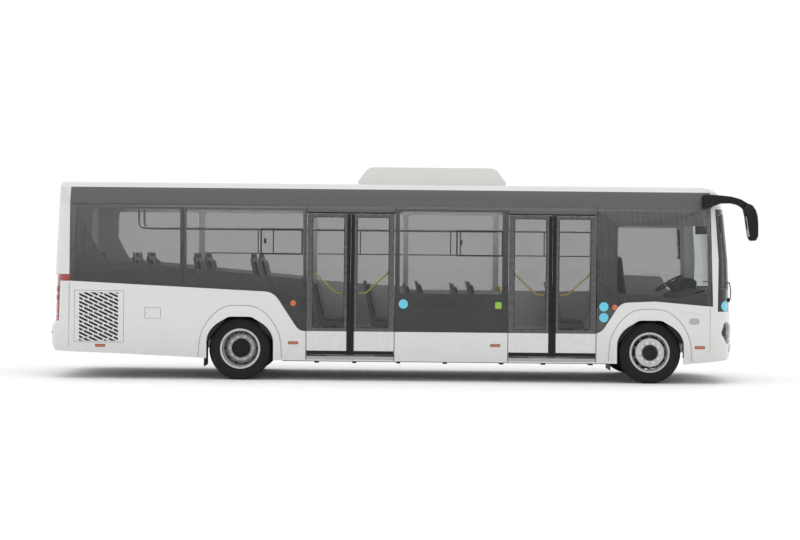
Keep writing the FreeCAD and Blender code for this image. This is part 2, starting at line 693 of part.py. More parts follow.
def tyre_points():
    half = S.tyre_width.value / 2
    low, top = values(S.bead_seat, S.tyre_radius)
    right = [(low + 1, half - 30), (low + 16, half - 24), (low + 18, half - 9), (low + 80, half),
             (top - 30, half - 5), (top - 7, half - 20), (top, half - 62)]
    return right + [(r, -a) for r, a in reversed(right)]


def rim_points():
    """Half section of a rim: its disc stands out to the disc's offset."""
    flange, seat, bore, hub, face = values(S.rim_flange, S.bead_seat, S.rim_bore, S.hub_radius,
                                           S.disc_offset)
    edge = S.tyre_width.value / 2 - 11
    return [
        (bore, -edge), (flange, -edge), (flange, 10 - edge), (seat, 16 - edge),
        (seat, edge - 16), (flange, edge - 10), (flange, edge), (bore + 4, edge),
        (bore + 4, face - 75), (bore - 14, face - 70), (bore - 40, face - 22),
        (bore - 58, face - 4), (bore - 70, face), (hub - 1, face), (hub - 1, face - 12),
        (bore - 74, face - 12), (bore - 48, face - 30), (bore - 22, face - 82),
        (bore, face - 97),
    ]


def flipped(points):
    return [(r, -a) for r, a in reversed(points)]


HOLE_RING, HOLE_RADIUS, HOLES = 230, 17, 10
LONG_HOLE_RADIUS, LONG_HOLE_HALF = 20, 34


def hand_holes(x, centre_y):
    """Round hand holes through a disc."""
    holes = []
    for i in range(HOLES):
        angle = 2 * math.pi * i / HOLES
        holes.append(rod("y", (x + HOLE_RING * math.cos(angle), centre_y - 150,
                               AXLE_Z + HOLE_RING * math.sin(angle)), 300, HOLE_RADIUS))
    return group(*holes)


def long_hand_holes(centre):
    """Long rounded hand holes through a front disc."""
    x, y, top = centre[0].value, centre[1].value, AXLE_Z.value + HOLE_RING
    holes = []
    for i in range(HOLES):
        ends = [rod("y", (x + shift, y - 150, top), 300, LONG_HOLE_RADIUS)
                for shift in (-LONG_HOLE_HALF, LONG_HOLE_HALF)]
        middle = box((x - LONG_HOLE_HALF, x + LONG_HOLE_HALF), (y - 150, y + 150),
                     (top - LONG_HOLE_RADIUS, top + LONG_HOLE_RADIUS))
        hole = fuse(*ends, middle)
        turn = Rotation(Vector(0, 1, 0), 360 * (i + 0.5) / HOLES)
        hole.Placement = Placement(Vector(), turn, Vector(x, y, AXLE_Z.value))
        holes.append(hole)
    return group(*holes)


def front_wheel(side):
    centre = (FRONT_X, S.wheel_centre_y * side, AXLE_Z)
    tyre = tyre_points()
    rim = rim_points()
    bore, hub, face = values(S.spindle_radius + S.fit, S.hub_radius, S.disc_offset)
    nave = [(bore, -75), (hub, -75), (hub, face), (115, face), (115, face + 22),
            (98, face + 32), (0, face + 32), (0, 105), (bore, 105)]
    if side < 0:
        rim, nave = flipped(rim), flipped(nave)
    wheel = fuse(turned(rim, centre), turned(nave, centre))
    return turned(tyre, centre), cut(wheel, long_hand_holes(centre))


def rear_wheel(side):
    outer_y = S.wheel_centre_y * side
    inner_y = (S.wheel_centre_y - 2 * S.disc_offset) * side
    mating = (REAR_X, MATING_Y * side, AXLE_Z)
    tyre = tyre_points()
    facing_out, facing_in = rim_points(), flipped(rim_points())
    bore, hub = values(S.spindle_radius + S.fit, S.hub_radius)
    nave = [(bore, -40), (hub, -40), (hub, 12), (134, 12), (134, 118), (120, 134), (0, 138),
            (0, 112), (bore, 112)]
    if side < 0:
        facing_out, facing_in, nave = facing_in, facing_out, flipped(nave)
    outside = turned(facing_in, (REAR_X, outer_y, AXLE_Z))
    inside = turned(facing_out, (REAR_X, inner_y, AXLE_Z))
    holes = hand_holes(REAR_X, mating[1])
    rims = fuse(cut(outside, holes), cut(inside, holes), turned(nave, mating))
    tyres = group(turned(tyre, (REAR_X, outer_y, AXLE_Z)), turned(tyre, (REAR_X, inner_y, AXLE_Z)))
    return tyres, rims


for side, word in ((-1, "right"), (1, "left")):
    tyre, rim = front_wheel(side)
    node(f"front_{word}_tyre", tyre)
    node(f"front_{word}_rim", rim)
    tyres, rims = rear_wheel(side)
    node(f"rear_{word}_tyres", tyres)
    node(f"rear_{word}_rims", rims)

# ---------------------------------------------------------------- steering
ARM_X = FRONT_X - S.steer_arm
EAR = 30
for side, word in ((-1, "right"), (1, "left")):
    pin_y = S.kingpin_y * side
    out = lambda distance: pin_y + side * distance
    kingpin = rod("z", (FRONT_X, pin_y, AXLE_Z - 90), 180, S.kingpin_radius)
    ears = [box((FRONT_X - 45, FRONT_X + 45), (out(-40), out(75)), (AXLE_Z + low, AXLE_Z + low + EAR))
            for low in (60, -90)]
    plate = box((FRONT_X - 60, FRONT_X + 60), (out(55), out(75)), (AXLE_Z - 90, AXLE_Z + 90))
    stub_end = S.wheel_centre_y + 100
    stub_from = S.kingpin_y + 60
    stub = rod("y", (FRONT_X, stub_from if side > 0 else -stub_end, AXLE_Z), stub_end - stub_from,
               S.spindle_radius)
    arm = box((ARM_X - 22, FRONT_X + 30), (out(-20), out(20)), (AXLE_Z - 115, AXLE_Z - 90))
    ball = rod("z", (ARM_X, pin_y, AXLE_Z - 152), 40, 10)
    node(f"knuckle_{word}", fuse(kingpin, *ears, plate, stub, arm, ball))
ROD_Z = AXLE_Z - 137
bar = rod("y", (ARM_X, -S.kingpin_y, ROD_Z), 2 * S.kingpin_y, 13)
rod_eyes = [rod("z", (ARM_X, side * S.kingpin_y, ROD_Z - 15), 30, 24) for side in (-1, 1)]
rod_bores = [rod("z", (ARM_X, side * S.kingpin_y, ROD_Z - 20), 40, 10 + S.fit) for side in (-1, 1)]
node("tie_rod", cut(fuse(bar, *rod_eyes), *rod_bores))

# ---------------------------------------------------------------- doors
def door_points():
    """Where a leaf's arm turns and carries it, across and into the doorway.

    Open, the leaf stands square to the doorway at its jamb, so the arm has to be as long
    from its post to the leaf's pivot in both places.
    """
    px, pv = -S.post_back.value, S.post_in.value
    middle = S.leaf_set.value + S.leaf_thickness.value / 2
    edge, end_u, end_v = values(S.leaf_edge, S.leaf_end_u, S.leaf_end_v)
    reach = ((edge - px) ** 2 + (middle - pv) ** 2 - (end_u - px) ** 2 - (end_v - pv) ** 2)
    reach /= 2 * (edge - px + end_v - pv)
    pivot = (edge - reach, middle)
    arm = math.hypot(pivot[0] - px, pivot[1] - pv)
    start = math.atan2(pivot[1] - pv, pivot[0] - px)
    return (px, pv), pivot, arm, start


POST, PIVOT, ARM_LENGTH, ARM_START = door_points()
PIN = 8
ARM_LOW = S.floor_top + S.arm_gap
ARM_HIGH = S.leaf_top + S.arm_gap
LEAF_PANE = (91, 542, 778, 2373)
RAIL_STAND = 48


def door_leaf(name, jamb, sign):
    """One gliding leaf, its pane, and the post with two arms that carries it."""
    across = lambda u: jamb + sign * as_size(u)
    inward = lambda v: as_size(v) - HALF
    face, back = S.leaf_set, S.leaf_set + S.leaf_thickness
    slope = S.leaf_thickness / 2
    plan = ((across(S.leaf_gap), inward(face)), (across(S.leaf_edge), inward(face)),
            (across(S.leaf_edge), inward(face + slope)),
            (across(S.leaf_edge - slope), inward(back)), (across(S.leaf_gap), inward(back)))
    if sign < 0:
        plan = tuple(reversed(plan))
    leaf = prism("xy", plan, S.leaf_low, S.leaf_top)
    near, wide, low, high = LEAF_PANE
    hole = box((across(near), across(wide)), (inward(0), inward(back + 5)), (low, high))
    pivot = (across(PIVOT[0]), inward(PIVOT[1]))
    sockets = [rod("z", (pivot[0], pivot[1], z), 30, PIN + S.fit)
               for z in (S.leaf_low, S.leaf_top - 30)]
    rail_v = inward(back + RAIL_STAND)
    route = [(across(u), rail_v, z) for u, z in ((88, 1585), (419, 1276), (540, 1267))]
    bars = [tube_between(route[0], route[1], 13), tube_between(route[1], route[2], 13)]
    stands = [rod("y", (spot[0], inward(back - 4), spot[2]), RAIL_STAND + 4, 13)
              for spot in (route[0], route[2])]
    node(f"{name}_leaf", fuse(cut(leaf, hole, *sockets), *bars, *stands))
    node(f"{name}_pane", box((across(near), across(wide)), (inward(face + 2), inward(face + 8)),
                             (low, high)))
    post = (across(POST[0]), inward(POST[1]))
    angle = math.degrees(ARM_START) * sign
    if sign < 0:
        angle = 180 - math.degrees(ARM_START)
    pieces = [rod("z", (post[0], post[1], ARM_LOW), ARM_HIGH + S.arm_thickness - ARM_LOW,
                  S.post_radius),
              rod("z", (post[0], post[1], S.floor_top - 20), 40, 10),
              rod("z", (post[0], post[1], ARM_HIGH), 40, 10)]
    for z, pin_low in ((ARM_LOW, ARM_LOW), (ARM_HIGH, ARM_HIGH + S.arm_thickness - 40)):
        bar = doc.addObject("Part::Box", "arm")
        bind(bar, Length=ARM_LENGTH, Width=30, Height=S.arm_thickness)
        turn = Rotation(Vector(0, 0, 1), angle)
        offset = turn.multVec(Vector(0, -15, 0))
        place(bar, (post[0] + offset.x, post[1] + offset.y, z), turn)
        pieces += [bar, rod("z", (pivot[0], pivot[1], z), S.arm_thickness, 15),
                   rod("z", (pivot[0], pivot[1], pin_low), 40, PIN)]
    node(f"{name}_arm", fuse(*pieces))
    return post


posts = []
for start, word in zip(DOORS, ("rear", "front")):
    posts.append(door_leaf(f"{word}_door_back", start, 1))
    posts.append(door_leaf(f"{word}_door_front", start + S.door_width, -1))
HEAD = S.door_head
gear = []
for start in DOORS:
    gear.append(prism("yz", ((-INSIDE, HEAD), (-1000, HEAD), (-1000, 2600), (-1135, 2600),
                             (-INSIDE, 2480)), start - 80, start + S.door_width + 80))
gear_bores = [rod("z", (post[0], post[1], HEAD - 5), 40, 10 + S.fit) for post in posts]
node("door_gear", cut(group(*gear), *gear_bores))
floor_bores = [rod("z", (post[0], post[1], S.floor_top - 24), 40, 10 + S.fit) for post in posts]
node("floor_platform", cut(FLOOR, *floor_bores))

# ---------------------------------------------------------------- roof unit and mirrors
unit = prism("xz", ((S.unit_rear, S.roof_top, 40), (S.unit_rear + 190, S.roof_top + S.unit_height, 150),
                    (S.unit_front - 190, S.roof_top + S.unit_height, 150),
                    (S.unit_front, S.roof_top, 40)), -S.unit_half, S.unit_half)
eave = 1000
bevel = prism("yz", ((-S.unit_half, S.roof_top), (-S.unit_half + 140, S.roof_top + 300),
                     (S.unit_half - 140, S.roof_top + 300), (S.unit_half, S.roof_top)), -1500, 2500)
node("roof_unit", common(unit, bevel))

MIRROR_ARM = ((4400, 2640, 30), (4400, 2740, 30), (4758, 2724, 60), (5010, 2660, 60),
              (5060, 2560, 30), (4882, 2610, 60), (4643, 2636, 60))
MIRROR_HEAD = ((4925, 2600, 40), (5080, 2625, 70), (S.mirror_reach, 2293), (5125, 2095, 40),
               (5020, 2080, 40), (4985, 2300), (4990, 2480, 60))
FOOT = ((4356, 4499), (2560, 2755))
foot = box(FOOT[0], (-1330, -1150), FOOT[1])
arm = prism("xz", MIRROR_ARM, -1330, -1270)
head = prism("xz", MIRROR_HEAD, -1460, -1240)
node("right_mirror", cut(fuse(foot, arm, head), body))
LEFT_ARM = ((4400, 2700), (4450, 2700), (4525, 2300), (4475, 2300))
LEFT_HEAD = ((4405, 2350, 40), (4590, 2370, 50), (4600, 1840, 50), (4440, 1790, 40))
left_arm = prism("xz", LEFT_ARM, 1280, 1330)
left_head = prism("xz", LEFT_HEAD, 1270, 1480)
node("left_mirror", cut(fuse(box(FOOT[0], (1150, 1330), FOOT[1]), left_arm, left_head), body))

# ---------------------------------------------------------------- saloon
SEAT_PROFILE = ((0, 0), (0, -50), (420, -60), (440, -20), (430, 10), (60, 20), (-90, 640),
                (-130, 640))
SEAT_TOP_LOW, SEAT_TOP_DECK = S.floor_top + S.seat_height, S.deck_top + S.seat_height


def seat_at(x, y, top, base):
    """A seat shell on its leg; x is where its back meets its cushion."""
    profile = [(x + along, top + up - 20) for along, up in SEAT_PROFILE]
    shell_plate = prism("xz", profile, y - S.seat_width / 2, y + S.seat_width / 2)
    leg = box((x + 180, x + 260), (y - 40, y + 40), (base, top - 74))
    return fuse(shell_plate, leg)


seats = []
OUTER, INNER = INSIDE - 225, INSIDE - 665
HOUSE_TOP = S.house_top + S.house_skin
for side in (-1, 1):
    for x, outer_base in ((-3790, S.deck_top), (-2900, HOUSE_TOP), (-2070, HOUSE_TOP)):
        seats.append(seat_at(x, side * OUTER, SEAT_TOP_DECK, outer_base))
        seats.append(seat_at(x, side * INNER, SEAT_TOP_DECK, S.deck_top))
for x, side in ((-1250, 1), (-450, 1), (350, 1), (1150, 1), (2400, 1), (150, -1), (850, -1)):
    seats.append(seat_at(x, side * OUTER, SEAT_TOP_LOW, S.floor_top))
    seats.append(seat_at(x, side * INNER, SEAT_TOP_LOW, S.floor_top))
BENCH_X = -4580
for i in range(5):
    y = as_size((i - 2) * 440)
    profile = [(BENCH_X + along, SEAT_TOP_DECK + up - 20) for along, up in SEAT_PROFILE]
    shell_plate = prism("xz", profile, y - S.seat_width / 2, y + S.seat_width / 2)
    plinth = box((BENCH_X + 40, BENCH_X + 380), (y - 150, y + 150),
                 (S.engine_hump_top, SEAT_TOP_DECK - 75))
    seats.append(fuse(shell_plate, plinth))
node("seats", group(*seats))

CEILING = S.roof_top - S.wall
POLE_Y, GRAB_Z, GRAB_REAR = 280, 2080, -3790
POLES = ((-3300, -POLE_Y, S.deck_top), (-3300, POLE_Y, S.deck_top), (-1640, -POLE_Y, STEP_TOP),
         (-1640, POLE_Y, STEP_TOP), (90, -POLE_Y, S.floor_top), (1480, -POLE_Y, S.floor_top),
         (1480, POLE_Y, S.floor_top), (2980, -POLE_Y, S.floor_top), (-1440, -700, S.floor_top))
poles = [rod("z", (x, y, base), CEILING - base, S.tube) for x, y, base in POLES]
clearances = [rod("z", (x, y, 2000), 160, S.tube + S.fit / 2) for x, y, _ in POLES]
grabs = []
for y, front in ((-POLE_Y, 2980), (POLE_Y, 1480)):
    drop = rod("z", (GRAB_REAR, y, GRAB_Z), CEILING - GRAB_Z, S.tube)
    elbow = doc.addObject("Part::Sphere", "elbow")
    bind(elbow, Radius=S.tube)
    place(elbow, (GRAB_REAR, y, GRAB_Z))
    grabs += [drop, elbow, rod("x", (GRAB_REAR, y, GRAB_Z), front - GRAB_REAR, S.tube)]
node("grab_rails", group(cut(fuse(*grabs), *clearances), *poles))

dash = prism("xz", ((4500, S.deck_top), (4560, 1340, 40), (4400, 1370, 60), (4150, 1250, 40),
                    (4150, 1120), (4260, S.deck_top)), -1000, 1000)
cowl = prism("xz", ((4540, 1330), (4560, 1470, 40), (4470, 1525, 60), (4330, 1500, 60),
                    (4260, 1290)), 300, 980)
screen_wall = box((S.cab_step_x + 40, S.cab_step_x + 70), (100, INSIDE), (S.deck_top, 2000))
cab_seat = prism("xz", ((3450, 1175, 20), (3360, 1860, 30), (3290, 1860, 30), (3350, 1080, 40),
                        (3410, 1010), (3890, 1020, 30), (3900, 1150, 40)), 400, 900)
WHEEL_SPOT = (4180, 640, 1436)
COLUMN_LEAN = 31
lean = Rotation(Vector(0, 1, 0), -COLUMN_LEAN)


def on_column(distance):
    """A point on the steering column's axis, so far below the wheel's centre."""
    offset = lean.multVec(Vector(0, 0, -distance))
    return [spot + shift for spot, shift in zip(WHEEL_SPOT, offset)]


ring = doc.addObject("Part::Torus", "ring")
bind(ring, Radius1=232, Radius2=15)
place(ring, WHEEL_SPOT, lean)
boss = doc.addObject("Part::Cylinder", "boss")
bind(boss, Radius=48, Height=60)
place(boss, on_column(55), lean)
spokes = []
for turn in (90, 210, 330):
    tip = lean.multVec(Vector(228 * math.cos(math.radians(turn)), 228 * math.sin(math.radians(turn)), 0))
    spokes.append(tube_between(on_column(25), [spot + shift for spot, shift in zip(WHEEL_SPOT, tip)], 11))
node("steering_wheel", fuse(ring, boss, *spokes))
column = tube_between(on_column(350), on_column(55 + S.fit.value), 30)
pedestal = box((3460, 3810), (430, 610), (S.deck_top, 1011))
node("driver_cab", cut(group(fuse(dash, cowl, column), fuse(pedestal, cab_seat), screen_wall), *COVERS))

flaps = []
for axle, half, house_y in AXLES:
    for side in (-1, 1):
        flaps.append(box((axle - half, axle - half + 8), (side * (house_y + 20), side * INSIDE), (190, 420)))
node("mudflaps", group(*flaps))

# ---------------------------------------------------------------- checks and files
doc.recompute()
for item in doc.Objects:
    if "Invalid" in item.State or "Error" in item.State:
        raise RuntimeError(f"{item.Name} ({item.Label}) failed: {item.State}")
for piece in NODES:
    if piece.Shape.isNull() or not piece.Shape.isValid():
        raise RuntimeError(f"{piece.Label} is not a valid shape")
for piece in NODES:
    piece.Shape.exportStep(f"parts/{piece.Label}.step")
    print(f"{piece.Label}: {len(piece.Shape.Solids)} solids, {piece.Shape.Volume / 1e9:.4f} m3")
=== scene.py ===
# %% [markdown]
# # A city bus, dressed for a studio view
# The solid parts of this bus come from its CAD model: body panels, doors, wheels, axles and seats.
# This lesson adds what a modeller adds afterwards: paint, glass, rubber seals, lamps, tyre tread,
# wheel nuts, seat cushions and the small fittings that make the bus look used and real.
# Every length is in metres, +X is forward, +Y is the bus's left side and +Z is up.

# %% Open the CAD frame
import math

import bmesh
import bpy
from mathutils import Matrix, Vector
from mathutils.bvhtree import BVHTree


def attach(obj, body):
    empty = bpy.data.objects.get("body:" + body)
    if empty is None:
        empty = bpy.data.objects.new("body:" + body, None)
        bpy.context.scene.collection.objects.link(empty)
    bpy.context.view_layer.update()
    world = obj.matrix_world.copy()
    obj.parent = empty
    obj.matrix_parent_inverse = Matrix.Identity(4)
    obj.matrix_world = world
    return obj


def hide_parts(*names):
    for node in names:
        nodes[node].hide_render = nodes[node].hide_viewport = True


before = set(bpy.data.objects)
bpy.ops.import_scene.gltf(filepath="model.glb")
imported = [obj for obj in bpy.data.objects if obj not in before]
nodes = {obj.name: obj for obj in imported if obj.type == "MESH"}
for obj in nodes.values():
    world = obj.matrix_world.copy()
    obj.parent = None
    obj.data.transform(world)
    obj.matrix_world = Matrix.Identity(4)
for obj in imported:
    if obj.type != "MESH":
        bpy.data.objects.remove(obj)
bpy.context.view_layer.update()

# %% [markdown]
# ## Camera
# A bus is drawn in elevation from far away, so that its side stays flat and its wheels stay round.
# The lens is long and stands about 25 m off, at the height of a tall person's eyes. The small shift
# puts the horizon above the middle of the picture, which is what a view camera's rising front does.

# %% Camera
SIDE = -1.25  # the plane of the right side wall
SIDES = ((-1, "right"), (1, "left"))
CAMERA_AWAY, EYE_HEIGHT = 25.2, 1.908
camera_data = bpy.data.cameras.new("elevation_camera")
camera_data.lens = 78.2
camera_data.sensor_width = 36.0
camera_data.clip_end = 400.0
camera_data.shift_x = 0.0062
camera_data.shift_y = -0.025
camera = bpy.data.objects.new("elevation_camera", camera_data)
camera.location = (-0.092, SIDE - CAMERA_AWAY, EYE_HEIGHT)
camera.rotation_euler = (math.radians(90), -0.0098, 0)
bpy.context.scene.collection.objects.link(camera)
bpy.context.scene.camera = camera
print("camera stands at", tuple(camera.location))

# %% [markdown]
# ## Studio
# Product pictures of vehicles use a white floor that runs into a white surround. The surround here
# is the world's own light, which reaches under the bus from all sides, so the shadow on the floor
# is only where the bus stands in its way. Two wide soft lamps above give the paint its highlights.

# %% Surround and lamps
def srgb(code):
    """A colour given as sRGB hex, turned into the linear values that shaders use."""
    parts = [int(code[i:i + 2], 16) / 255 for i in (1, 3, 5)]
    return tuple(c / 12.92 if c <= 0.04045 else ((c + 0.055) / 1.055) ** 2.4 for c in parts) + (1.0,)


world = bpy.data.worlds.new("white_surround")
bpy.context.scene.world = world
world.use_nodes = True
world.node_tree.nodes["Background"].inputs["Color"].default_value = srgb("#ffffff")
world.node_tree.nodes["Background"].inputs["Strength"].default_value = 1.04
bpy.context.scene.view_settings.view_transform = "Standard"


def add_lamp(name, spot, size, power, look_at):
    """A wide rectangular lamp that looks at a point."""
    data = bpy.data.lights.new(name, "AREA")
    data.shape = "RECTANGLE"
    data.size, data.size_y = size
    data.energy = power
    lamp = bpy.data.objects.new(name, data)
    lamp.location = spot
    lamp.rotation_euler = (Vector(look_at) - Vector(spot)).to_track_quat("-Z", "Y").to_euler()
    bpy.context.scene.collection.objects.link(lamp)


add_lamp("overhead_bank", (0, -2, 12), (20, 10), 320, (0, 0, 0))
add_lamp("front_bank", (18, -8, 9), (8, 6), 110, (4, 0, 1))
print("lamps:", len(bpy.data.lights))

# %% [markdown]
# ## Building tools
# A material is a small tree of nodes. One function adds a node: each entry of its table is either a
# plain value for a socket or another node's socket to link to it. Real surfaces are uneven, so many
# recipes also use a cloudy noise that is stretched to the range they need.

# %% Nodes and materials
def add(tree, kind, sockets, **settings):
    """Add a node; sockets maps an input's name or number to a value or to a socket."""
    node = tree.nodes.new("ShaderNode" + kind)
    for key, value in settings.items():
        setattr(node, key, value)
    for key, value in sockets.items():
        if isinstance(value, bpy.types.NodeSocket):
            tree.links.new(value, node.inputs[key])
        else:
            node.inputs[key].default_value = value
    return node


def start_material(name):
    """An empty material: its tree, and the place on the surface in metres."""
    material = bpy.data.materials.new(name)
    material.use_nodes = True
    tree = material.node_tree
    tree.nodes.clear()
    place = tree.nodes.new("ShaderNodeTexCoord").outputs["Object"]
    print("material:", name)
    return material, tree, place


def finish_material(tree, shader):
    add(tree, "OutputMaterial", {"Surface": shader.outputs[0]})


def mottled(tree, place, millimetres, low, high, detail=2.0, roughness=0.5, span=(0.3, 0.7)):
    """Cloudy noise with lumps of that many millimetres, its span stretched from low to high."""
    clouds = add(tree, "TexNoise", {"Vector": place, "Scale": 1000 / millimetres, "Detail": detail,
                                    "Roughness": roughness}).outputs["Fac"]
    return add(tree, "MapRange", {0: clouds, 1: span[0], 2: span[1], 3: low, 4: high}).outputs[0]


print("a mid grey is", srgb("#808080"))

# %% [markdown]
# ## Pieces
# A piece is modelled as a bmesh and becomes an object only when it is finished. The function below
# merges its doubles, turns its faces outwards, gives it its finish and says which body of the bus
# carries it.

# %% Pieces
def to_object(mesh, name, material, body="root", smooth=30):
    """Turn a finished bmesh into a named piece that rides on a body."""
    bmesh.ops.remove_doubles(mesh, verts=mesh.verts, dist=1e-6)
    bmesh.ops.recalc_face_normals(mesh, faces=mesh.faces)
    data = bpy.data.meshes.new(name)
    mesh.to_mesh(data)
    mesh.free()
    piece = bpy.data.objects.new(name, data)
    bpy.context.scene.collection.objects.link(piece)
    materials = material if isinstance(material, (list, tuple)) else [material]
    for item in materials:
        data.materials.append(item)
    for polygon in data.polygons:
        polygon.use_smooth = True
    data.set_sharp_from_angle(angle=math.radians(smooth))
    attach(piece, body)
    print("piece:", name, "on", body, "with", len(data.polygons), "faces")
    return piece


# %% [markdown]
# ## Coach paint
# Bus panels are steel and glass fibre, sprayed with a two-part polyurethane gloss. Up close the
# gloss is never flat: it has a fine "orange peel" of about a centimetre, and the road throws a film
# of dust against the lowest half metre. The paint's IOR is that of its clear binder, near 1.5.

# %% Coach paint
def coach_paint(name, code, dust=0.35, roughness=0.22):
    """Gloss paint with orange peel, and road dust that fades out half a metre up."""
    material, tree, place = start_material(name)
    height = add(tree, "SeparateXYZ", {0: place}).outputs["Z"]
    low = add(tree, "MapRange", {0: height, 1: 0.25, 2: 0.80, 3: 1.0, 4: 0.0}).outputs[0]
    patches = add(tree, "TexNoise", {"Vector": place, "Scale": 1000 / 180, "Detail": 5.0,
                                     "Roughness": 0.6}).outputs["Fac"]
    film = add(tree, "Math", {0: low, 1: patches}, operation="MULTIPLY").outputs[0]
    film = add(tree, "Math", {0: film, 1: dust}, operation="MULTIPLY").outputs[0]
    clouds = mottled(tree, place, 900, 0.0, 1.0, 3.0)
    base = srgb(code)
    faded = tuple(c * 0.965 for c in base[:3]) + (1.0,)
    colour = add(tree, "Mix", {0: clouds, 6: base, 7: faded}, data_type="RGBA").outputs[2]
    colour = add(tree, "Mix", {0: film, 6: colour, 7: srgb("#8d877b")}, data_type="RGBA").outputs[2]
    rough = add(tree, "MapRange", {0: film, 1: 0.0, 2: 0.3, 3: roughness, 4: roughness + 0.3}).outputs[0]
    lumps = add(tree, "TexNoise", {"Vector": place, "Scale": 1000 / 14, "Detail": 1.0}).outputs["Fac"]
    peel = add(tree, "Bump", {"Height": lumps, "Strength": 0.03, "Distance": 0.001}).outputs[0]
    shader = add(tree, "BsdfPrincipled", {"Base Color": colour, "Roughness": rough, "Normal": peel,
                                          "IOR": 1.5, "Coat Weight": 0.5, "Coat Roughness": 0.06})
    finish_material(tree, shader)
    return material


WHITE_PAINT = coach_paint("polyurethane_gloss_white", "#d2d2d1")
INNER_PAINT = coach_paint("powder_coat_light_grey", "#9fa09e", dust=0.0, roughness=0.5)

# %% [markdown]
# ## Glass
# Bonded side windows are toughened float glass, 6 mm thick and tinted grey in the melt. Light is
# either mirrored at the near face or passes on, a little darker. A Fresnel share between a clear
# and a mirror shader says that. The far face mirrors nothing here: the clear shader doesn't bend
# light, so at a flat angle Fresnel's law would take the far face for a perfect mirror.

# %% Glass
def outer_mirror(tree):
    """The share of light a pane reflects: Fresnel's law on its near face, nothing on its far face."""
    share = add(tree, "Fresnel", {"IOR": 1.45}).outputs[0]
    far_face = add(tree, "NewGeometry", {}).outputs["Backfacing"]
    return add(tree, "Mix", {0: far_face, 2: share, 3: 0.0}).outputs[0]


def float_glass(name, tint):
    material, tree, _ = start_material(name)
    clear = add(tree, "BsdfTransparent", {"Color": srgb(tint)})
    gloss = add(tree, "BsdfGlossy", {"Color": srgb("#ffffff"), "Roughness": 0.02})
    finish_material(tree, add(tree, "MixShader", {0: outer_mirror(tree), 1: clear.outputs[0],
                                                  2: gloss.outputs[0]}))
    return material


TINTED_GLASS = float_glass("tinted_toughened_glass", "#dddddd")

# %% [markdown]
# ## Plastics and rubber
# Moulded black plastic gets its matt look from the etched tool: a leather-like grain of about a
# millimetre, drawn a few times as coarse here so that it shows. Rubber is rougher still, and greys
# where dust stays in its pores. Both share one recipe, with a different grain, roughness and fade.

# %% Moulded and rubber finishes
def moulded(name, code, roughness, grain, depth=0.25, fade=0.25, fade_code="#6b6862"):
    """A moulded surface: grain in millimetres, and a pale bloom in patches."""
    material, tree, place = start_material(name)
    patches = mottled(tree, place, 140, 0.0, fade, 4.0, 0.65, (0.45, 0.85))
    colour = add(tree, "Mix", {0: patches, 6: srgb(code), 7: srgb(fade_code)},
                 data_type="RGBA").outputs[2]
    rough = mottled(tree, place, grain * 4, roughness - 0.06, roughness + 0.06)
    cells = add(tree, "TexVoronoi", {"Vector": place, "Scale": 1000 / grain}).outputs["Distance"]
    relief = add(tree, "Bump", {"Height": cells, "Strength": depth, "Distance": 0.0006}).outputs[0]
    shader = add(tree, "BsdfPrincipled", {"Base Color": colour, "Roughness": rough, "IOR": 1.5,
                                          "Specular IOR Level": 0.2,
                                          "Normal": relief})
    finish_material(tree, shader)
    return material


BLACK_PLASTIC = moulded("grained_abs_black", "#161617", 0.48, 4, fade=0.1)
DOOR_RUBBER = moulded("epdm_door_rubber", "#1a1a1b", 0.62, 3, fade=0.08)
SEAL_RUBBER = moulded("epdm_window_seal", "#111112", 0.55, 3, fade=0.1)
LEAF_SEAL = moulded("grey_epdm_leaf_seal", "#343435", 0.55, 3, fade=0.1)
LATCH_BLACK = moulded("black_nylon_latch", "#0b0b0c", 0.6, 3, fade=0.1)
CHASSIS = moulded("chassis_enamel_black", "#1a1a1a", 0.5, 8, fade=0.45, fade_code="#5a5043")
DASH_PLASTIC = moulded("slush_moulded_dashboard", "#2a2b2d", 0.6, 3)
SEAT_SHELL = moulded("seat_shell_polypropylene", "#6c7076", 0.4, 5, depth=0.12)
TREAD_RUBBER = moulded("tyre_tread_rubber", "#171717", 0.78, 6, depth=0.4, fade=0.25, fade_code="#3d3a36")
WALL_RUBBER = moulded("tyre_sidewall_rubber", "#171718", 0.6, 5, depth=0.2, fade=0.2, fade_code="#33312e")
FLOOR_VINYL = moulded("safety_vinyl_floor", "#7c7f81", 0.55, 4, fade=0.4, fade_code="#7c7f80")
ROOF_SHELL_WHITE = coach_paint("glass_fibre_gelcoat_white", "#cdcdcc", dust=0.0, roughness=0.32)
YELLOW_COAT = moulded("powder_coat_signal_yellow", "#c9a427", 0.36, 3, depth=0.1, fade=0.12,
                      fade_code="#8f7a35")
LOOP_GREY = moulded("powder_coat_mid_grey", "#66686b", 0.42, 3, depth=0.1, fade=0.12)

# %% [markdown]
# ## Metals
# Drawn tube, rolled profile and cast iron differ in grain and in how bright they stay, and brown
# dirt gathers on them in patches. Bare metal keeps the shader's default IOR, because a metal's
# colour already holds its mirror.

# %% Metals
def metal(name, code, roughness, metallic=1.0, grain=6, dirt=0.3):
    """A metal surface: grain in millimetres, and brown dirt in patches."""
    material, tree, place = start_material(name)
    patches = mottled(tree, place, 60, 0.0, dirt, 4.0, 0.6, (0.5, 0.85))
    colour = add(tree, "Mix", {0: patches, 6: srgb(code), 7: srgb("#3a342c")},
                 data_type="RGBA").outputs[2]
    rough = mottled(tree, place, grain, roughness - 0.07, roughness + 0.1, 3.0)
    lumps = add(tree, "TexNoise", {"Vector": place, "Scale": 1000 / grain}).outputs["Fac"]
    relief = add(tree, "Bump", {"Height": lumps, "Strength": 0.08, "Distance": 0.0005}).outputs[0]
    shader = add(tree, "BsdfPrincipled", {"Base Color": colour, "Metallic": metallic,
                                          "Roughness": rough, "Normal": relief})
    finish_material(tree, shader)
    return material


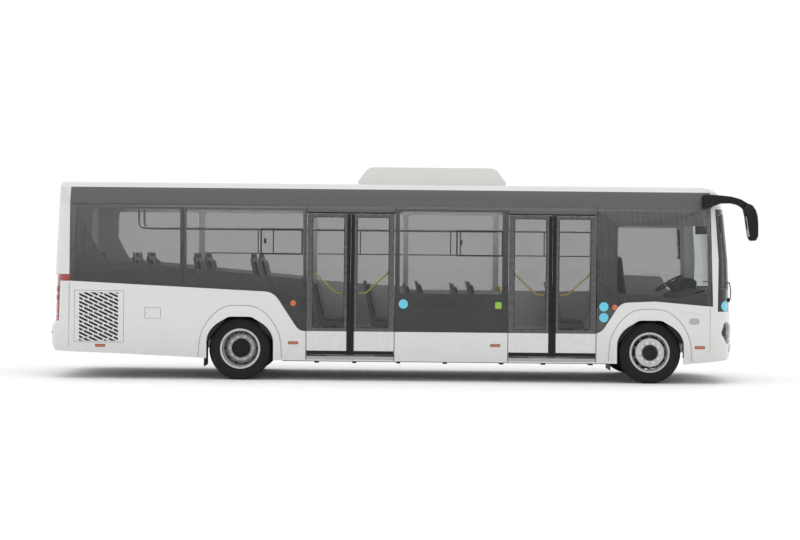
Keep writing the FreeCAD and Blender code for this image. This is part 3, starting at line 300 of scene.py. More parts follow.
WHEEL_NUT = metal("zinc_plated_nut", "#d9d9d7", 0.3, 0.5, dirt=0.1)
HUB_BLACK = moulded("hub_enamel_black", "#141414", 0.45, 6, depth=0.05, fade=0.1)
ALUMINIUM = metal("anodised_aluminium", "#a9abac", 0.35, 0.9, dirt=0.15)
RAIL_STEEL = metal("satin_stainless_tube", "#8f9193", 0.38, 0.8, grain=3, dirt=0.1)
DARK_ALUMINIUM = metal("anodised_aluminium_black", "#2c2c2e", 0.42, 0.5, dirt=0.1)
MACHINED_STEEL = metal("machined_steel", "#8a8a88", 0.4, 1.0, dirt=0.5)
CAST_IRON = metal("painted_cast_iron", "#55575a", 0.6, 0.3, grain=3, dirt=0.6)
MIRROR_SILVER = metal("silvered_mirror_glass", "#d8dcdd", 0.08, 1.0, grain=400, dirt=0.0)

# %% [markdown]
# ## Lamp covers and marks
# Lamp covers are moulded acrylic: a clear, glossy skin over ribs that spread the light. The ribs
# are a millimetre or two in reality and are drawn much coarser here, so that they show.

# %% Lamp covers and marks
def lamp_cover(name, code, glow=0.0, ribs=12):
    material, tree, place = start_material(name)
    wave = add(tree, "TexWave", {"Vector": place, "Scale": 1000 / ribs / 6.28, "Distortion": 0.0},
               bands_direction="X").outputs["Fac"]
    # painted shade: the colour is darker in the troughs between the ribs
    trough_shade = tuple(c * 0.6 for c in srgb(code)[:3]) + (1.0,)
    colour = add(tree, "Mix", {0: wave, 6: trough_shade, 7: srgb(code)}, data_type="RGBA").outputs[2]
    relief = add(tree, "Bump", {"Height": wave, "Strength": 0.35, "Distance": 0.0015}).outputs[0]
    shader = add(tree, "BsdfPrincipled", {"Base Color": colour, "Roughness": 0.12, "IOR": 1.49,
                                          "Coat Weight": 0.8, "Coat Roughness": 0.03,
                                          "Normal": relief,
                                          "Emission Color": srgb(code), "Emission Strength": glow})
    finish_material(tree, shader)
    return material


RED_LENS = lamp_cover("acrylic_red", "#9c1b1f", glow=0.05)
ORANGE_LENS = lamp_cover("acrylic_amber", "#c4603a", glow=0.08)
AMBER_BUTTON = lamp_cover("polycarbonate_amber_button", "#d98227", glow=0.1, ribs=30)
CLEAR_LENS = lamp_cover("acrylic_clear", "#c9ced2")
BLUE_VINYL = coach_paint("vinyl_foil_sky_blue", "#5cc0d8", dust=0.0, roughness=0.35)
GREEN_VINYL = coach_paint("vinyl_foil_leaf_green", "#86b52c", dust=0.0, roughness=0.35)
# grey for the flare beads, which stand for the shade in the flare creases: painted shade, with some road dust
CREASE_SHADE_GREY = coach_paint("grey_bead_painted_crease_shade", "#9a9a99", dust=0.2, roughness=0.5)

# %% [markdown]
# ## Finishes for the CAD parts
# Each CAD part gets its finish by name. A few parts are one solid but two finishes: a door leaf is
# white below the belt, dark above it, and its handrail is yellow. A mask on the surface's own
# coordinates picks the finish, so the painted line stays put when the leaf swings.

# %% Window band and door leaf
def band_enamel():
    """Grey enamel behind the side panes, with a painted reflection that makes it lighter towards the top;
    pale lining on the saloon side.
    """
    material, tree, place = start_material("window_band_enamel")
    axes = add(tree, "SeparateXYZ", {0: place})
    # painted reflection: the enamel is drawn lighter towards the top, where the panes would mirror the bright
    # surround
    painted_reflection_rise = add(tree, "MapRange", {0: axes.outputs["Z"], 1: 1.1, 2: 2.55}).outputs[0]
    clouds = add(tree, "TexNoise", {"Vector": place, "Scale": 1.4, "Detail": 3}).outputs["Fac"]
    drift = add(tree, "MapRange", {0: clouds, 1: 0.3, 2: 0.7, 3: -0.03, 4: 0.03}).outputs[0]
    painted_reflection_rise = add(tree, "Math", {0: painted_reflection_rise, 1: drift}, operation="ADD", use_clamp=True).outputs[0]
    outer = add(tree, "Mix", {0: painted_reflection_rise, 6: srgb("#3c3c3e"), 7: srgb("#858586")},
                data_type="RGBA").outputs[2]
    across = add(tree, "Math", {0: axes.outputs["Y"]}, operation="ABSOLUTE").outputs[0]
    lining = add(tree, "Math", {0: across, 1: 1.215}, operation="LESS_THAN").outputs[0]
    colour = add(tree, "Mix", {0: lining, 6: outer, 7: srgb("#b2b3b1")}, data_type="RGBA").outputs[2]
    finish_material(tree,
                    add(tree, "BsdfPrincipled", {"Base Color": colour, "Roughness": 0.5, "IOR": 1.5}))
    return material


BAND_ENAMEL = band_enamel()
BELT = 0.720
LEAF_BACK = SIDE + 0.0415


def leaf_finish():
    """White below the belt, dark above, and yellow on the rail behind the leaf's back."""
    material, tree, place = start_material("painted_door_leaf")
    axes = add(tree, "SeparateXYZ", {0: place})
    above = add(tree, "Math", {0: axes.outputs["Z"], 1: BELT}, operation="GREATER_THAN").outputs[0]
    behind = add(tree, "Math", {0: axes.outputs["Y"], 1: LEAF_BACK}, operation="GREATER_THAN").outputs[0]
    colour = add(tree, "Mix", {0: above, 6: srgb("#cbcbca"), 7: srgb("#424243")},
                 data_type="RGBA").outputs[2]
    colour = add(tree, "Mix", {0: behind, 6: colour, 7: srgb("#dfcc50")}, data_type="RGBA").outputs[2]
    lumps = add(tree, "TexNoise", {"Vector": place, "Scale": 1000 / 14, "Detail": 1.0}).outputs["Fac"]
    peel = add(tree, "Bump", {"Height": lumps, "Strength": 0.02, "Distance": 0.001}).outputs[0]
    rough = mottled(tree, place, 70, 0.22, 0.34, 3.0)
    finish_material(tree, add(tree, "BsdfPrincipled", {"Base Color": colour, "Roughness": rough,
                                                       "IOR": 1.5, "Normal": peel, "Coat Weight": 0.4}))
    return material


LEAF_PAINT = leaf_finish()

# %% [markdown]
# ## The plain CAD parts
# Most CAD parts have one finish, which they get by name, or by the ending of their name where
# several are alike. The parts with two finishes follow further down, once their masks are made.

# %% Give every CAD part its finish
FINISHES = {
    WHITE_PAINT: ("right_side_panel", "left_side_panel", "front_panel", "rear_bumper", "rear_panel",
                  "rear_hatch", "fuel_flap", "engine_side_door"),
    BAND_ENAMEL: ("right_window_frame", "left_window_frame"),
    TINTED_GLASS: ("right_glass", "left_glass"), RED_LENS: ("rear_lamps",),
    CHASSIS: ("underframe", "front_axle", "rear_axle"),
    CAST_IRON: ("engine_block",),
    FLOOR_VINYL: ("floor_platform",),
    INNER_PAINT: ("door_gear",),
    BLACK_PLASTIC: ("right_mirror", "left_mirror", "mudflaps"),
    SEAT_SHELL: ("seats",),
    LOOP_GREY: ("grab_rails",),
    DASH_PLASTIC: ("driver_cab", "steering_wheel"),
    MACHINED_STEEL: ("knuckle_right", "knuckle_left", "tie_rod"),
}
ENDINGS = {"_tyre": TREAD_RUBBER, "tyres": TREAD_RUBBER, "_leaf": LEAF_PAINT, "_pane": TINTED_GLASS,
           "_arm": DARK_ALUMINIUM}


def finish_part(name, finish):
    nodes[name].data.materials.clear()
    nodes[name].data.materials.append(finish)


for finish, names in FINISHES.items():
    for name in names:
        finish_part(name, finish)
for name in nodes:
    for end, finish in ENDINGS.items():
        if name.endswith(end):
            finish_part(name, finish)
print("CAD parts with a material:", sum(1 for piece in nodes.values() if piece.data.materials))

# %% [markdown]
# ## Shapes that many pieces share
# Most fittings on a body side are flat shapes with rounded corners that stand a little proud. They
# all start from one outline face, which is pushed out and gets its front edges bevelled. Round parts
# are a half section that is spun once round an axle.

# %% Flat outlines
def rounded(corners, radius, steps=4):
    """Replace each sharp corner of a flat outline by a short arc."""
    result = []
    count = len(corners)
    for i, corner in enumerate(corners):
        here = Vector(corner)
        before = (Vector(corners[i - 1]) - here).normalized()
        after = (Vector(corners[(i + 1) % count]) - here).normalized()
        for step in range(steps + 1):
            share = step / steps
            start, end = here + before * radius, here + after * radius
            result.append(tuple(start * (1 - share) ** 2 + here * 2 * share * (1 - share) + end * share ** 2))
    return result


def square(low_x, high_x, low_z, high_z):
    return [(low_x, low_z), (high_x, low_z), (high_x, high_z), (low_x, high_z)]


def rectangle(low_x, high_x, low_z, high_z, radius=0.01):
    return rounded(square(low_x, high_x, low_z, high_z), radius)


def circle(x, z, radius, count=32):
    return [(x + radius * math.cos(math.tau * i / count), z + radius * math.sin(math.tau * i / count))
            for i in range(count)]


print("corners of a rounded rectangle:", len(rectangle(0, 1, 0, 1)))

# %% [markdown]
# ## Four ways to make a shape
# Pushing an outline gives plates, spinning a section gives round parts, an eased cube gives blocks and
# a curve with a thickness gives bars. Each function adds to a bmesh and hands it back.

# %% Plates, spun rings, blocks and bars
PLANES = {"xz": ((1, 0, 0), (0, 0, 1), (0, 1, 0)), "yz": ((0, 1, 0), (0, 0, 1), (1, 0, 0)),
          "xy": ((1, 0, 0), (0, 1, 0), (0, 0, 1))}


def add_plate(mesh, corners, near, depth, bevel=0.0, plane="xz", holes=()):
    """Push a flat outline from near by depth; the far edges are bevelled."""
    first, second, along = [Vector(axis) for axis in PLANES[plane]]
    loops = [[mesh.verts.new(first * a + second * b + along * near) for a, b in loop]
             for loop in (corners, *holes)]
    if holes:
        edges = [mesh.edges.new((loop[i - 1], loop[i])) for loop in loops for i in range(len(loop))]
        faces = [item for item in bmesh.ops.triangle_fill(mesh, use_beauty=True, edges=edges)["geom"]
                 if isinstance(item, bmesh.types.BMFace)]
    else:
        faces = [mesh.faces.new(loops[0])]
    grown = bmesh.ops.extrude_face_region(mesh, geom=faces)["geom"]
    far = [item for item in grown if isinstance(item, bmesh.types.BMVert)]
    bmesh.ops.translate(mesh, verts=far, vec=along * depth)
    if bevel:
        chosen = set(far)
        bmesh.ops.recalc_face_normals(mesh, faces=mesh.faces)
        rim = [edge for edge in mesh.edges if edge.verts[0] in chosen and edge.verts[1] in chosen
               and edge.calc_face_angle(0.0) > 0.9]
        bmesh.ops.bevel(mesh, geom=rim, offset=bevel, segments=2, profile=0.5, affect="EDGES",
                        material=-1)
    return mesh


def spin_round(mesh, section, centre, steps=64, axis=(0, 1, 0)):
    """Spin a closed half section of (radius, distance along the axis) once round centre."""
    centre = Vector(centre)
    axis = Vector(axis)
    up = Vector((0, 0, 1))
    verts = [mesh.verts.new(centre + up * radius + axis * along) for radius, along in section]
    edges = [mesh.edges.new((verts[i - 1], verts[i])) for i in range(len(verts))]
    bmesh.ops.spin(mesh, geom=verts + edges, cent=centre, axis=axis, dvec=(0, 0, 0), angle=math.tau,
                   steps=steps, use_merge=True, use_duplicate=False)
    return mesh


def add_block(mesh, low, high, bevel=0.002, segments=2):
    """A block between two corners with every edge eased."""
    low, high = Vector(low), Vector(high)
    made = bmesh.ops.create_cube(mesh, size=1.0)["verts"]
    bmesh.ops.scale(mesh, vec=high - low, verts=made)
    bmesh.ops.translate(mesh, vec=(low + high) / 2, verts=made)
    edges = list({edge for vert in made for edge in vert.link_edges})
    bmesh.ops.bevel(mesh, geom=edges, offset=bevel, segments=segments, profile=0.5, affect="EDGES",
                    material=-1)
    return mesh


def add_pipe(mesh, points, radius, sides=3, steps=6):
    """A round bar bent smoothly along points."""
    curve = bpy.data.curves.new("bar", "CURVE")
    curve.dimensions = "3D"
    curve.bevel_depth = radius
    curve.bevel_resolution = sides
    curve.resolution_u = steps
    curve.use_fill_caps = True
    line = curve.splines.new("NURBS")
    line.points.add(len(points) - 1)
    for item, point in zip(line.points, points):
        item.co = (*point, 1.0)
    line.order_u = 3
    line.use_endpoint_u = True
    holder = bpy.data.objects.new("bar", curve)
    mesh.from_mesh(holder.to_mesh())
    bpy.data.objects.remove(holder)
    bpy.data.curves.remove(curve)
    return mesh


print("planes for outlines:", ", ".join(PLANES))

# %% [markdown]
# ## Tyres
# A bus tyre has a plain wall with a few raised rings and, on its shoulders, a row of rubber blocks.
# Each tyre here is one half section spun round the axle. The shoulder faces are then inset one by
# one and raised, which leaves the V-shaped grooves between the blocks.

# %% Tyres with shoulder blocks
AXLE_Z = 0.452
FRONT_X, REAR_X = 3.623, -2.330
WHEEL_Y, DISC_OFFSET = 1.075, 0.135
HALF_SECTION = (
    (0.2805, 0.0925), (0.295, 0.0985), (0.297, 0.1135), (0.312, 0.1170), (0.318, 0.1160), (0.345, 0.1212),
    (0.372, 0.1225), (0.390, 0.1222), (0.393, 0.1206), (0.397, 0.1220), (0.414, 0.1200), (0.428, 0.1165),
    (0.433, 0.1148), (0.438, 0.1080), (0.4445, 0.1040), (0.4458, 0.0800), (0.4395, 0.0770),
    (0.4395, 0.0710), (0.4516, 0.0680), (0.4518, 0.0330), (0.4395, 0.0300), (0.4395, 0.0240),
    (0.4519, 0.0210),
)
TYRE_STEPS = 112
TREAD_FROM, BLOCKS_FROM = 0.4385, 0.4405  # radii where the tread and its shoulder blocks begin


def add_tyre(mesh, centre):
    """One tyre: spun section, then raised blocks on both shoulders."""
    section = list(HALF_SECTION) + [(radius, -out) for radius, out in reversed(HALF_SECTION)]
    spin_round(mesh, section, centre, TYRE_STEPS)
    bmesh.ops.remove_doubles(mesh, verts=mesh.verts, dist=1e-6)
    bmesh.ops.recalc_face_normals(mesh, faces=mesh.faces)
    shoulders = []
    for face in mesh.faces:
        middle = face.calc_center_median() - Vector(centre)
        radius = math.hypot(middle.x, middle.z)
        face.material_index = 1 if radius > TREAD_FROM else 0
        if radius > BLOCKS_FROM and 0.081 < abs(middle.y) < 0.1035:
            shoulders.append(face)
    bmesh.ops.inset_individual(mesh, faces=shoulders, thickness=0.0035, depth=0.0055)
    return len(shoulders)


for side, word in SIDES:
    mesh = bmesh.new()
    blocks = add_tyre(mesh, (FRONT_X, side * WHEEL_Y, AXLE_Z))
    tyre = to_object(mesh, f"front_{word}_ribbed_tyre", [WALL_RUBBER, TREAD_RUBBER],
                     f"front_{word}_wheel", smooth=28)
    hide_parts(f"front_{word}_tyre")
    mesh = bmesh.new()
    add_tyre(mesh, (REAR_X, side * WHEEL_Y, AXLE_Z))
    twin = to_object(mesh, f"rear_{word}_outer_tyre", [WALL_RUBBER, TREAD_RUBBER], f"rear_{word}_wheels",
                     smooth=28)
    mesh = bmesh.new()
    add_tyre(mesh, (REAR_X, side * (WHEEL_Y - 2 * DISC_OFFSET), AXLE_Z))
    inner = to_object(mesh, f"rear_{word}_inner_tyre", [WALL_RUBBER, TREAD_RUBBER], f"rear_{word}_wheels",
                      smooth=28)
    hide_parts(f"rear_{word}_tyres")
    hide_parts(f"rear_{word}_tyres")
    print(word, "shoulder blocks a tyre:", blocks)

# %% [markdown]
# ## Wheel nuts and hub covers
# Ten studs with hexagon nuts hold each steel wheel. The front hub ends in a black cap with a ring of
# small screws; the twin rear wheels show the drive flange, ten larger screws round a shallow dome.
# A nut here is three cones on one line: its pressed washer, its hexagon and the end of the stud.

# %% Nuts, caps and flange screws
def add_on_axle(mesh, spot, outward, layers):
    """Stack short cones outward from spot: (sides, first radius, last radius, start, height)."""
    turn = Matrix.Rotation(-outward * math.pi / 2, 4, "X")
    for sides, first, last, start, height in layers:
        centre = Vector(spot) + Vector((0, outward * (start + height / 2), 0))
        bmesh.ops.create_cone(mesh, cap_ends=True, segments=sides, radius1=first, radius2=last,
                              depth=height, matrix=Matrix.Translation(centre) @ turn)


NUT = ((14, 0.0235, 0.0215, 0.0, 0.004), (6, 0.0185, 0.0175, 0.004, 0.019),
       (8, 0.0105, 0.009, 0.023, 0.009))
FRONT_HUB_FACE, REAR_HUB_FACE = 1.2418, 1.074
CAP_SCREW = ((8, 0.0048, 0.0036, 0.0, 0.0035),)
FLANGE_SCREW = ((10, 0.0125, 0.0125, 0.0, 0.002), (6, 0.0098, 0.0092, 0.002, 0.007))


def ring_of(mesh, centre, radius, count, outward, layers, start=0.0):
    for number in range(count):
        angle = start + math.tau * number / count
        spot = (centre[0] + radius * math.cos(angle), centre[1], centre[2] + radius * math.sin(angle))
        add_on_axle(mesh, spot, outward, layers)


for side, word in SIDES:
    mesh = bmesh.new()
    ring_of(mesh, (FRONT_X, side * (WHEEL_Y + DISC_OFFSET), AXLE_Z), 0.142, 10, side, NUT)
    to_object(mesh, f"front_{word}_wheel_nuts", WHEEL_NUT, f"front_{word}_wheel")
    mesh = bmesh.new()
    ring_of(mesh, (REAR_X, side * (WHEEL_Y - DISC_OFFSET + 0.012), AXLE_Z), 0.163, 10, side, NUT)
    to_object(mesh, f"rear_{word}_wheel_nuts", WHEEL_NUT, f"rear_{word}_wheels")
    mesh = bmesh.new()
    cap = [(0.0, 0.0), (0.0965, 0.0), (0.0965, 0.002), (0.094, 0.0035), (0.082, 0.0035), (0.078, 0.0015),
           (0.058, 0.0018), (0.054, 0.0045), (0.0, 0.0055)]
    spin_round(mesh, [(radius, side * (FRONT_HUB_FACE + out)) for radius, out in cap],
               (FRONT_X, 0, AXLE_Z), 48)
    ring_of(mesh, (FRONT_X, side * (FRONT_HUB_FACE + 0.003), AXLE_Z), 0.088, 30, side, CAP_SCREW)
    to_object(mesh, f"front_{word}_hub_cap", HUB_BLACK, f"front_{word}_wheel")
    mesh = bmesh.new()
    dome = [(0.0, 0.002), (0.119, 0.0), (0.119, 0.0025), (0.112, 0.004), (0.084, 0.004), (0.078, 0.0065),
            (0.060, 0.011), (0.030, 0.0135), (0.0, 0.014)]
    spin_round(mesh, [(radius, side * (REAR_HUB_FACE + out)) for radius, out in dome],
               (REAR_X, 0, AXLE_Z), 48)
    ring_of(mesh, (REAR_X, side * (REAR_HUB_FACE + 0.0038), AXLE_Z), 0.098, 10, side, FLANGE_SCREW)
    to_object(mesh, f"rear_{word}_drive_flange", HUB_BLACK, f"rear_{word}_wheels")

# %% [markdown]
# ## Door rubbers and sills
# The leaves meet at two soft rubber profiles, so a hand that is caught comes out again. They are
# extruded EPDM, pushed on to each leaf's leading edge, and a brush-like strip closes its foot. The
# sill below is an aluminium profile with anti-slip ribs, and a black strip seals the head.

# %% Door rubbers, pane seals, sills and head strips
DOOR_WIDTH = 1.280
DOORS = (("rear", -1.372), ("front", 1.556))
LEAVES = [(f"{word}_door_{end}", start + (0 if end == "back" else DOOR_WIDTH), 1 if end == "back" else -1)
          for word, start in DOORS for end in ("back", "front")]
LEAF_FACE = SIDE + 0.004
LEAF_LOW, LEAF_TOP = 0.382, 2.424


def leaf_span(jamb, sign, near, far):
    return sorted((jamb + sign * near, jamb + sign * far))


for name, jamb, sign in LEAVES:
    mesh = bmesh.new()
    plan = [(0.586, -0.0035), (0.600, -0.0050), (0.632, -0.0050), (0.6385, 0.0), (0.6385, 0.016),
            (0.634, 0.0175), (0.634, 0.0), (0.586, 0.0)]
    add_plate(mesh, [(jamb + sign * across, LEAF_FACE + inward) for across, inward in plan], LEAF_LOW,
              LEAF_TOP - LEAF_LOW, plane="xy")
    to_object(mesh, f"{name}_finger_rubber", DOOR_RUBBER, f"{name}_leaf")
    mesh = bmesh.new()
    low, high = leaf_span(jamb, sign, 0.008, 0.586)
    add_plate(mesh, square(low, high, 0.384, 0.438), LEAF_FACE, -0.003, 0.001)
    to_object(mesh, f"{name}_foot_rubber", DOOR_RUBBER, f"{name}_leaf")
    mesh = bmesh.new()
    low, high = leaf_span(jamb, sign, 0.082, 0.551)
    inner_low, inner_high = leaf_span(jamb, sign, 0.093, 0.540)
    add_plate(mesh, rectangle(low, high, 0.769, 2.382, 0.03), LEAF_FACE - 0.0015, 0.0015,
              holes=[rectangle(inner_low, inner_high, 0.780, 2.371, 0.022)])
    to_object(mesh, f"{name}_pane_seal", LEAF_SEAL, f"{name}_leaf")

for word, start in DOORS:
    end = start + DOOR_WIDTH
    mesh = bmesh.new()
    add_plate(mesh, square(start + 0.006, end - 0.006, 2.428, 2.449),
              SIDE + 0.03, -0.0295, 0.002)
    to_object(mesh, f"{word}_door_head_seal", DOOR_RUBBER)
    mesh = bmesh.new()
    add_plate(mesh, square(start + 0.008, end - 0.008, 0.314, 0.358),
              SIDE + 0.0035, -0.003, 0.001)
    for number in range(4):
        low = 0.3185 + number * 0.0105
        add_block(mesh, (start + 0.012, SIDE - 0.002, low), (end - 0.012, SIDE + 0.001, low + 0.005),
                  0.0008, 1)
    to_object(mesh, f"{word}_door_sill", ALUMINIUM)

# %% [markdown]
# ## Sliding vents
# The upper part of two windows slides open. Each vent is a slim black aluminium frame that is bonded
# to the pane, with one upright where the sliding half ends, and a small snap latch.

# %% Sliding vents and their latches
VENTS = (("rear", -2.047, -1.429, -1.858, -1.978), ("middle", 0.795, 1.476, 0.855, 0.866))
VENT_LOW, VENT_TOP = 1.825, 2.204


def add_vent(mesh, low_x, high_x, bar_x, out, depth):
    add_plate(mesh, rectangle(low_x, high_x, VENT_LOW, VENT_TOP, 0.026), out, depth, 0.0015,
              holes=[rectangle(low_x + 0.022, high_x - 0.022, VENT_LOW + 0.022, VENT_TOP - 0.022, 0.014)])
    add_plate(mesh, square(bar_x - 0.008, bar_x + 0.008, VENT_LOW + 0.022, VENT_TOP - 0.022), out, depth)


for word, low_x, high_x, bar_x, latch_x in VENTS:
    mesh = bmesh.new()
    add_vent(mesh, low_x, high_x, bar_x, SIDE + 0.0065, 0.020)
    to_object(mesh, f"{word}_vent_frame", DARK_ALUMINIUM)
    mesh = bmesh.new()
    add_block(mesh, (latch_x - 0.017, SIDE + 0.008, 1.985), (latch_x + 0.017, SIDE + 0.038, 2.060),
              0.006, 3)
    add_block(mesh, (latch_x - 0.010, SIDE + 0.030, 2.005), (latch_x + 0.010, SIDE + 0.052, 2.040),
              0.004, 2)
    to_object(mesh, f"{word}_vent_latch", LATCH_BLACK)

# the left wall's windows have a full-width vent, seen through the saloon as two long bars
mesh = bmesh.new()
for low_x, high_x in ((-3.116, -1.429), (-1.325, 0.035), (0.125, 1.461), (1.561, 3.005)):
    for low_z, high_z in ((2.212, 2.240), (1.826, 1.842)):
        add_block(mesh, (low_x, -SIDE - 0.034, low_z), (high_x, -SIDE - 0.0065, high_z), 0.002, 1)
    middle = (low_x + high_x) / 2
    add_block(mesh, (middle - 0.008, -SIDE - 0.030, 1.842), (middle + 0.008, -SIDE - 0.0065, 2.212),
              0.002, 1)
to_object(mesh, "left_vent_bars", DARK_ALUMINIUM)

# %% [markdown]
# ## Marker lamps, buttons and blank roundels
# Small amber markers stand along the skirt. Beside each doorway is an amber button, and round
# vinyl foils mark the doorways; here they stay plain colour, with no signs on them.

# %% Side markers, buttons and foils
def lamp_block(mesh, x, z, half_x, half_z, side, out=0.010):
    add_plate(mesh, rectangle(x - half_x, x + half_x, z - half_z, z + half_z, half_z * 0.8),
              side * (-SIDE - 0.001), side * out, 0.004)


for side, word in SIDES:
    lens, base = bmesh.new(), bmesh.new()
    for x, z in ((-4.356, 0.484), (-1.558, 0.549), (1.374, 0.537), (4.344, 0.535)):
        lamp_block(lens, x, z, 0.064, 0.014, side, 0.013)
        lamp_block(base, x, z, 0.073, 0.020, side, 0.005)
    to_object(lens, f"{word}_side_marker_lenses", ORANGE_LENS)
    to_object(base, f"{word}_side_marker_bases", BLACK_PLASTIC)


def add_disc(mesh, x, z, radius, near, height, side=-1, rim=0.0):
    """A round foil or button on a side wall, domed by its bevel."""
    add_plate(mesh, circle(x, z, radius, 40), side * near, side * height, rim)


rims, buttons = bmesh.new(), bmesh.new()
for x, z in ((-1.562, 1.122), (3.105, 1.105)):
    add_disc(rims, x, z, 0.040, 1.2495, 0.003, rim=0.001)
    add_disc(buttons, x, z, 0.032, 1.2520, 0.006, rim=0.004)
    add_disc(buttons, x, z, 0.013, 1.2575, 0.003, rim=0.002)
to_object(rims, "door_button_rims", AMBER_BUTTON)
to_object(buttons, "door_buttons", ORANGE_LENS)
foils = bmesh.new()
for x, z in ((0.035, 1.126), (2.944, 1.113), (2.945, 0.957)):
    add_disc(foils, x, z, 0.067, 1.2500, 0.0008)
to_object(foils, "blue_roundels", BLUE_VINYL)
mesh = bmesh.new()
add_plate(mesh, rectangle(1.368, 1.462, 1.070, 1.166, 0.018), SIDE, -0.0008)
to_object(mesh, "green_foil", GREEN_VINYL)
mesh = bmesh.new()
add_plate(mesh, rectangle(4.186, 4.333, 0.868, 0.958, 0.036), SIDE, -0.002, 0.0008)
to_object(mesh, "charge_point_lid", ALUMINIUM)

# %% [markdown]
# ## Engine door
# Behind the slots of the engine door sits a black filter mat in its frame, so the engine can't be
# seen and water stays out. It moves with the door. A quarter-turn lock holds the door shut.

# %% Filter mat, lock and fuel lock
mesh = bmesh.new()
add_plate(mesh, rectangle(-4.690, -4.070, 0.545, 1.262, 0.03), SIDE + 0.042, 0.010, 0.003)
to_object(mesh, "engine_filter_mat", BLACK_PLASTIC, "engine_side_door")
locks = bmesh.new()
add_disc(locks, -4.702, 0.905, 0.012, 1.2495, 0.003, rim=0.001)
add_disc(locks, -4.702, 0.905, 0.005, 1.2520, 0.002, rim=0.0008)
to_object(locks, "engine_door_lock", ALUMINIUM, "engine_side_door")
locks = bmesh.new()
add_disc(locks, -3.690, 0.961, 0.009, 1.2495, 0.003, rim=0.001)
to_object(locks, "fuel_flap_lock", ALUMINIUM, "fuel_flap")

# %% [markdown]
# ## Wheels, screens and roof: one part, two finishes
# Some parts are made in one piece but finished in two ways. A wheel is silver and its hub is black,
# a bonded screen has a black ceramic border that hides its glue, and the roof's cove is painted
# dark along both sides. A mask that is worked out from the place on the part picks the finish.

# %% Wheel enamel
def wheel_enamel(name, axle_x, hub_radius, well):
    """Silver stoving enamel with patches of brake dust, black inside hub_radius, and painted shade in a ring
    at the radius well.
    """
    material, tree, place = start_material(name)
    arm = add(tree, "VectorMath", {0: place, 1: (axle_x, 0, AXLE_Z)}, operation="SUBTRACT").outputs[0]
    flat = add(tree, "VectorMath", {0: arm, 1: (1, 0, 1)}, operation="MULTIPLY").outputs[0]
    radius = add(tree, "VectorMath", {0: flat}, operation="LENGTH").outputs["Value"]
    hub = add(tree, "Math", {0: radius, 1: hub_radius}, operation="LESS_THAN").outputs[0]
    patches = add(tree, "TexNoise",
                  {"Vector": place, "Scale": 22, "Detail": 5, "Roughness": 0.65}).outputs["Fac"]
    dust = add(tree, "MapRange", {0: patches, 1: 0.45, 2: 0.8, 3: 0.0, 4: 0.45}).outputs[0]
    silver = add(tree, "Mix", {0: dust, 6: srgb("#bcbdbd"), 7: srgb("#57524a")},
                 data_type="RGBA").outputs[2]
    # painted shade: a darker grey ring at the radius well, where the recess between rim flange and disc lies
    # in shade
    offset = add(tree, "Math", {0: radius, 1: well}, operation="SUBTRACT").outputs[0]
    offset = add(tree, "Math", {0: offset}, operation="ABSOLUTE").outputs[0]
    shade = add(tree, "MapRange", {0: offset, 1: 0.016, 2: 0.024, 3: 0.8, 4: 0.0}).outputs[0]
    silver = add(tree, "Mix", {0: shade, 6: silver, 7: srgb("#55565a")}, data_type="RGBA").outputs[2]
    colour = add(tree, "Mix", {0: hub, 6: silver, 7: srgb("#1f1f20")}, data_type="RGBA").outputs[2]
    bare = add(tree, "Math", {0: 0.5, 1: hub}, operation="SUBTRACT", use_clamp=True).outputs[0]
    grain = add(tree, "TexNoise", {"Vector": place, "Scale": 160, "Detail": 2}).outputs["Fac"]
    rough = add(tree, "MapRange", {0: grain, 1: 0.3, 2: 0.7, 3: 0.34, 4: 0.48}).outputs[0]
    relief = add(tree, "Bump", {"Height": grain, "Strength": 0.08, "Distance": 0.0005}).outputs[0]
    finish_material(tree, add(tree, "BsdfPrincipled", {"Base Color": colour, "Metallic": bare,
                                                       "Roughness": rough, "Normal": relief}))
    return material


FRONT_WHEEL = wheel_enamel("front_wheel_enamel", FRONT_X, 0.1165, 0.228)
REAR_WHEEL = wheel_enamel("rear_wheel_enamel", REAR_X, 0.1365, 0.238)

# %% [markdown]
# ## Bonded screens
# The border is enamel baked on to the inside of the glass. The tests below say where it begins, and a
# pane that is seen edge-on looks darker, because light goes a longer way through it.

# %% Screens with a ceramic border
def bordered_glass(name, tint, tests):
    """Clear glass inside, black ceramic border wherever one of the tests is true."""
    material, tree, place = start_material(name)
    axes = add(tree, "SeparateXYZ", {0: place})
    border = 0.0
    for axis, operation, limit in tests:
        value = axes.outputs[axis]
        if axis == "Y":
            value = add(tree, "Math", {0: value}, operation="ABSOLUTE").outputs[0]
        if isinstance(limit, tuple):
            low, high, to_low, to_high = limit
            limit = add(tree, "MapRange",
                        {0: axes.outputs["Z"], 1: low, 2: high, 3: to_low, 4: to_high}).outputs[0]
        true = add(tree, "Math", {0: value, 1: limit}, operation=operation).outputs[0]
        border = add(tree, "Math", {0: border, 1: true}, operation="MAXIMUM").outputs[0]
    slant = add(tree, "LayerWeight", {"Blend": 0.5}).outputs["Facing"]
    slant = add(tree, "MapRange", {0: slant, 1: 0.55, 2: 0.9}).outputs[0]
    through = add(tree, "Mix", {0: slant, 6: srgb(tint), 7: srgb("#2c2e2f")}, data_type="RGBA").outputs[2]
    clear = add(tree, "BsdfTransparent", {"Color": through})
    gloss = add(tree, "BsdfGlossy", {"Color": srgb("#b4b7b7"), "Roughness": 0.02})
    glass = add(tree, "MixShader", {0: outer_mirror(tree), 1: clear.outputs[0], 2: gloss.outputs[0]})
    specks = add(tree, "TexNoise", {"Vector": place, "Scale": 300}).outputs["Fac"]
    rough = add(tree, "MapRange", {0: specks, 1: 0.3, 2: 0.7, 3: 0.12, 4: 0.2}).outputs[0]
    frit = add(tree, "BsdfPrincipled", {"Base Color": srgb("#1b1b1c"), "Roughness": rough, "IOR": 1.5})
    finish_material(tree, add(tree, "MixShader", {0: border, 1: glass.outputs[0], 2: frit.outputs[0]}))
    return material


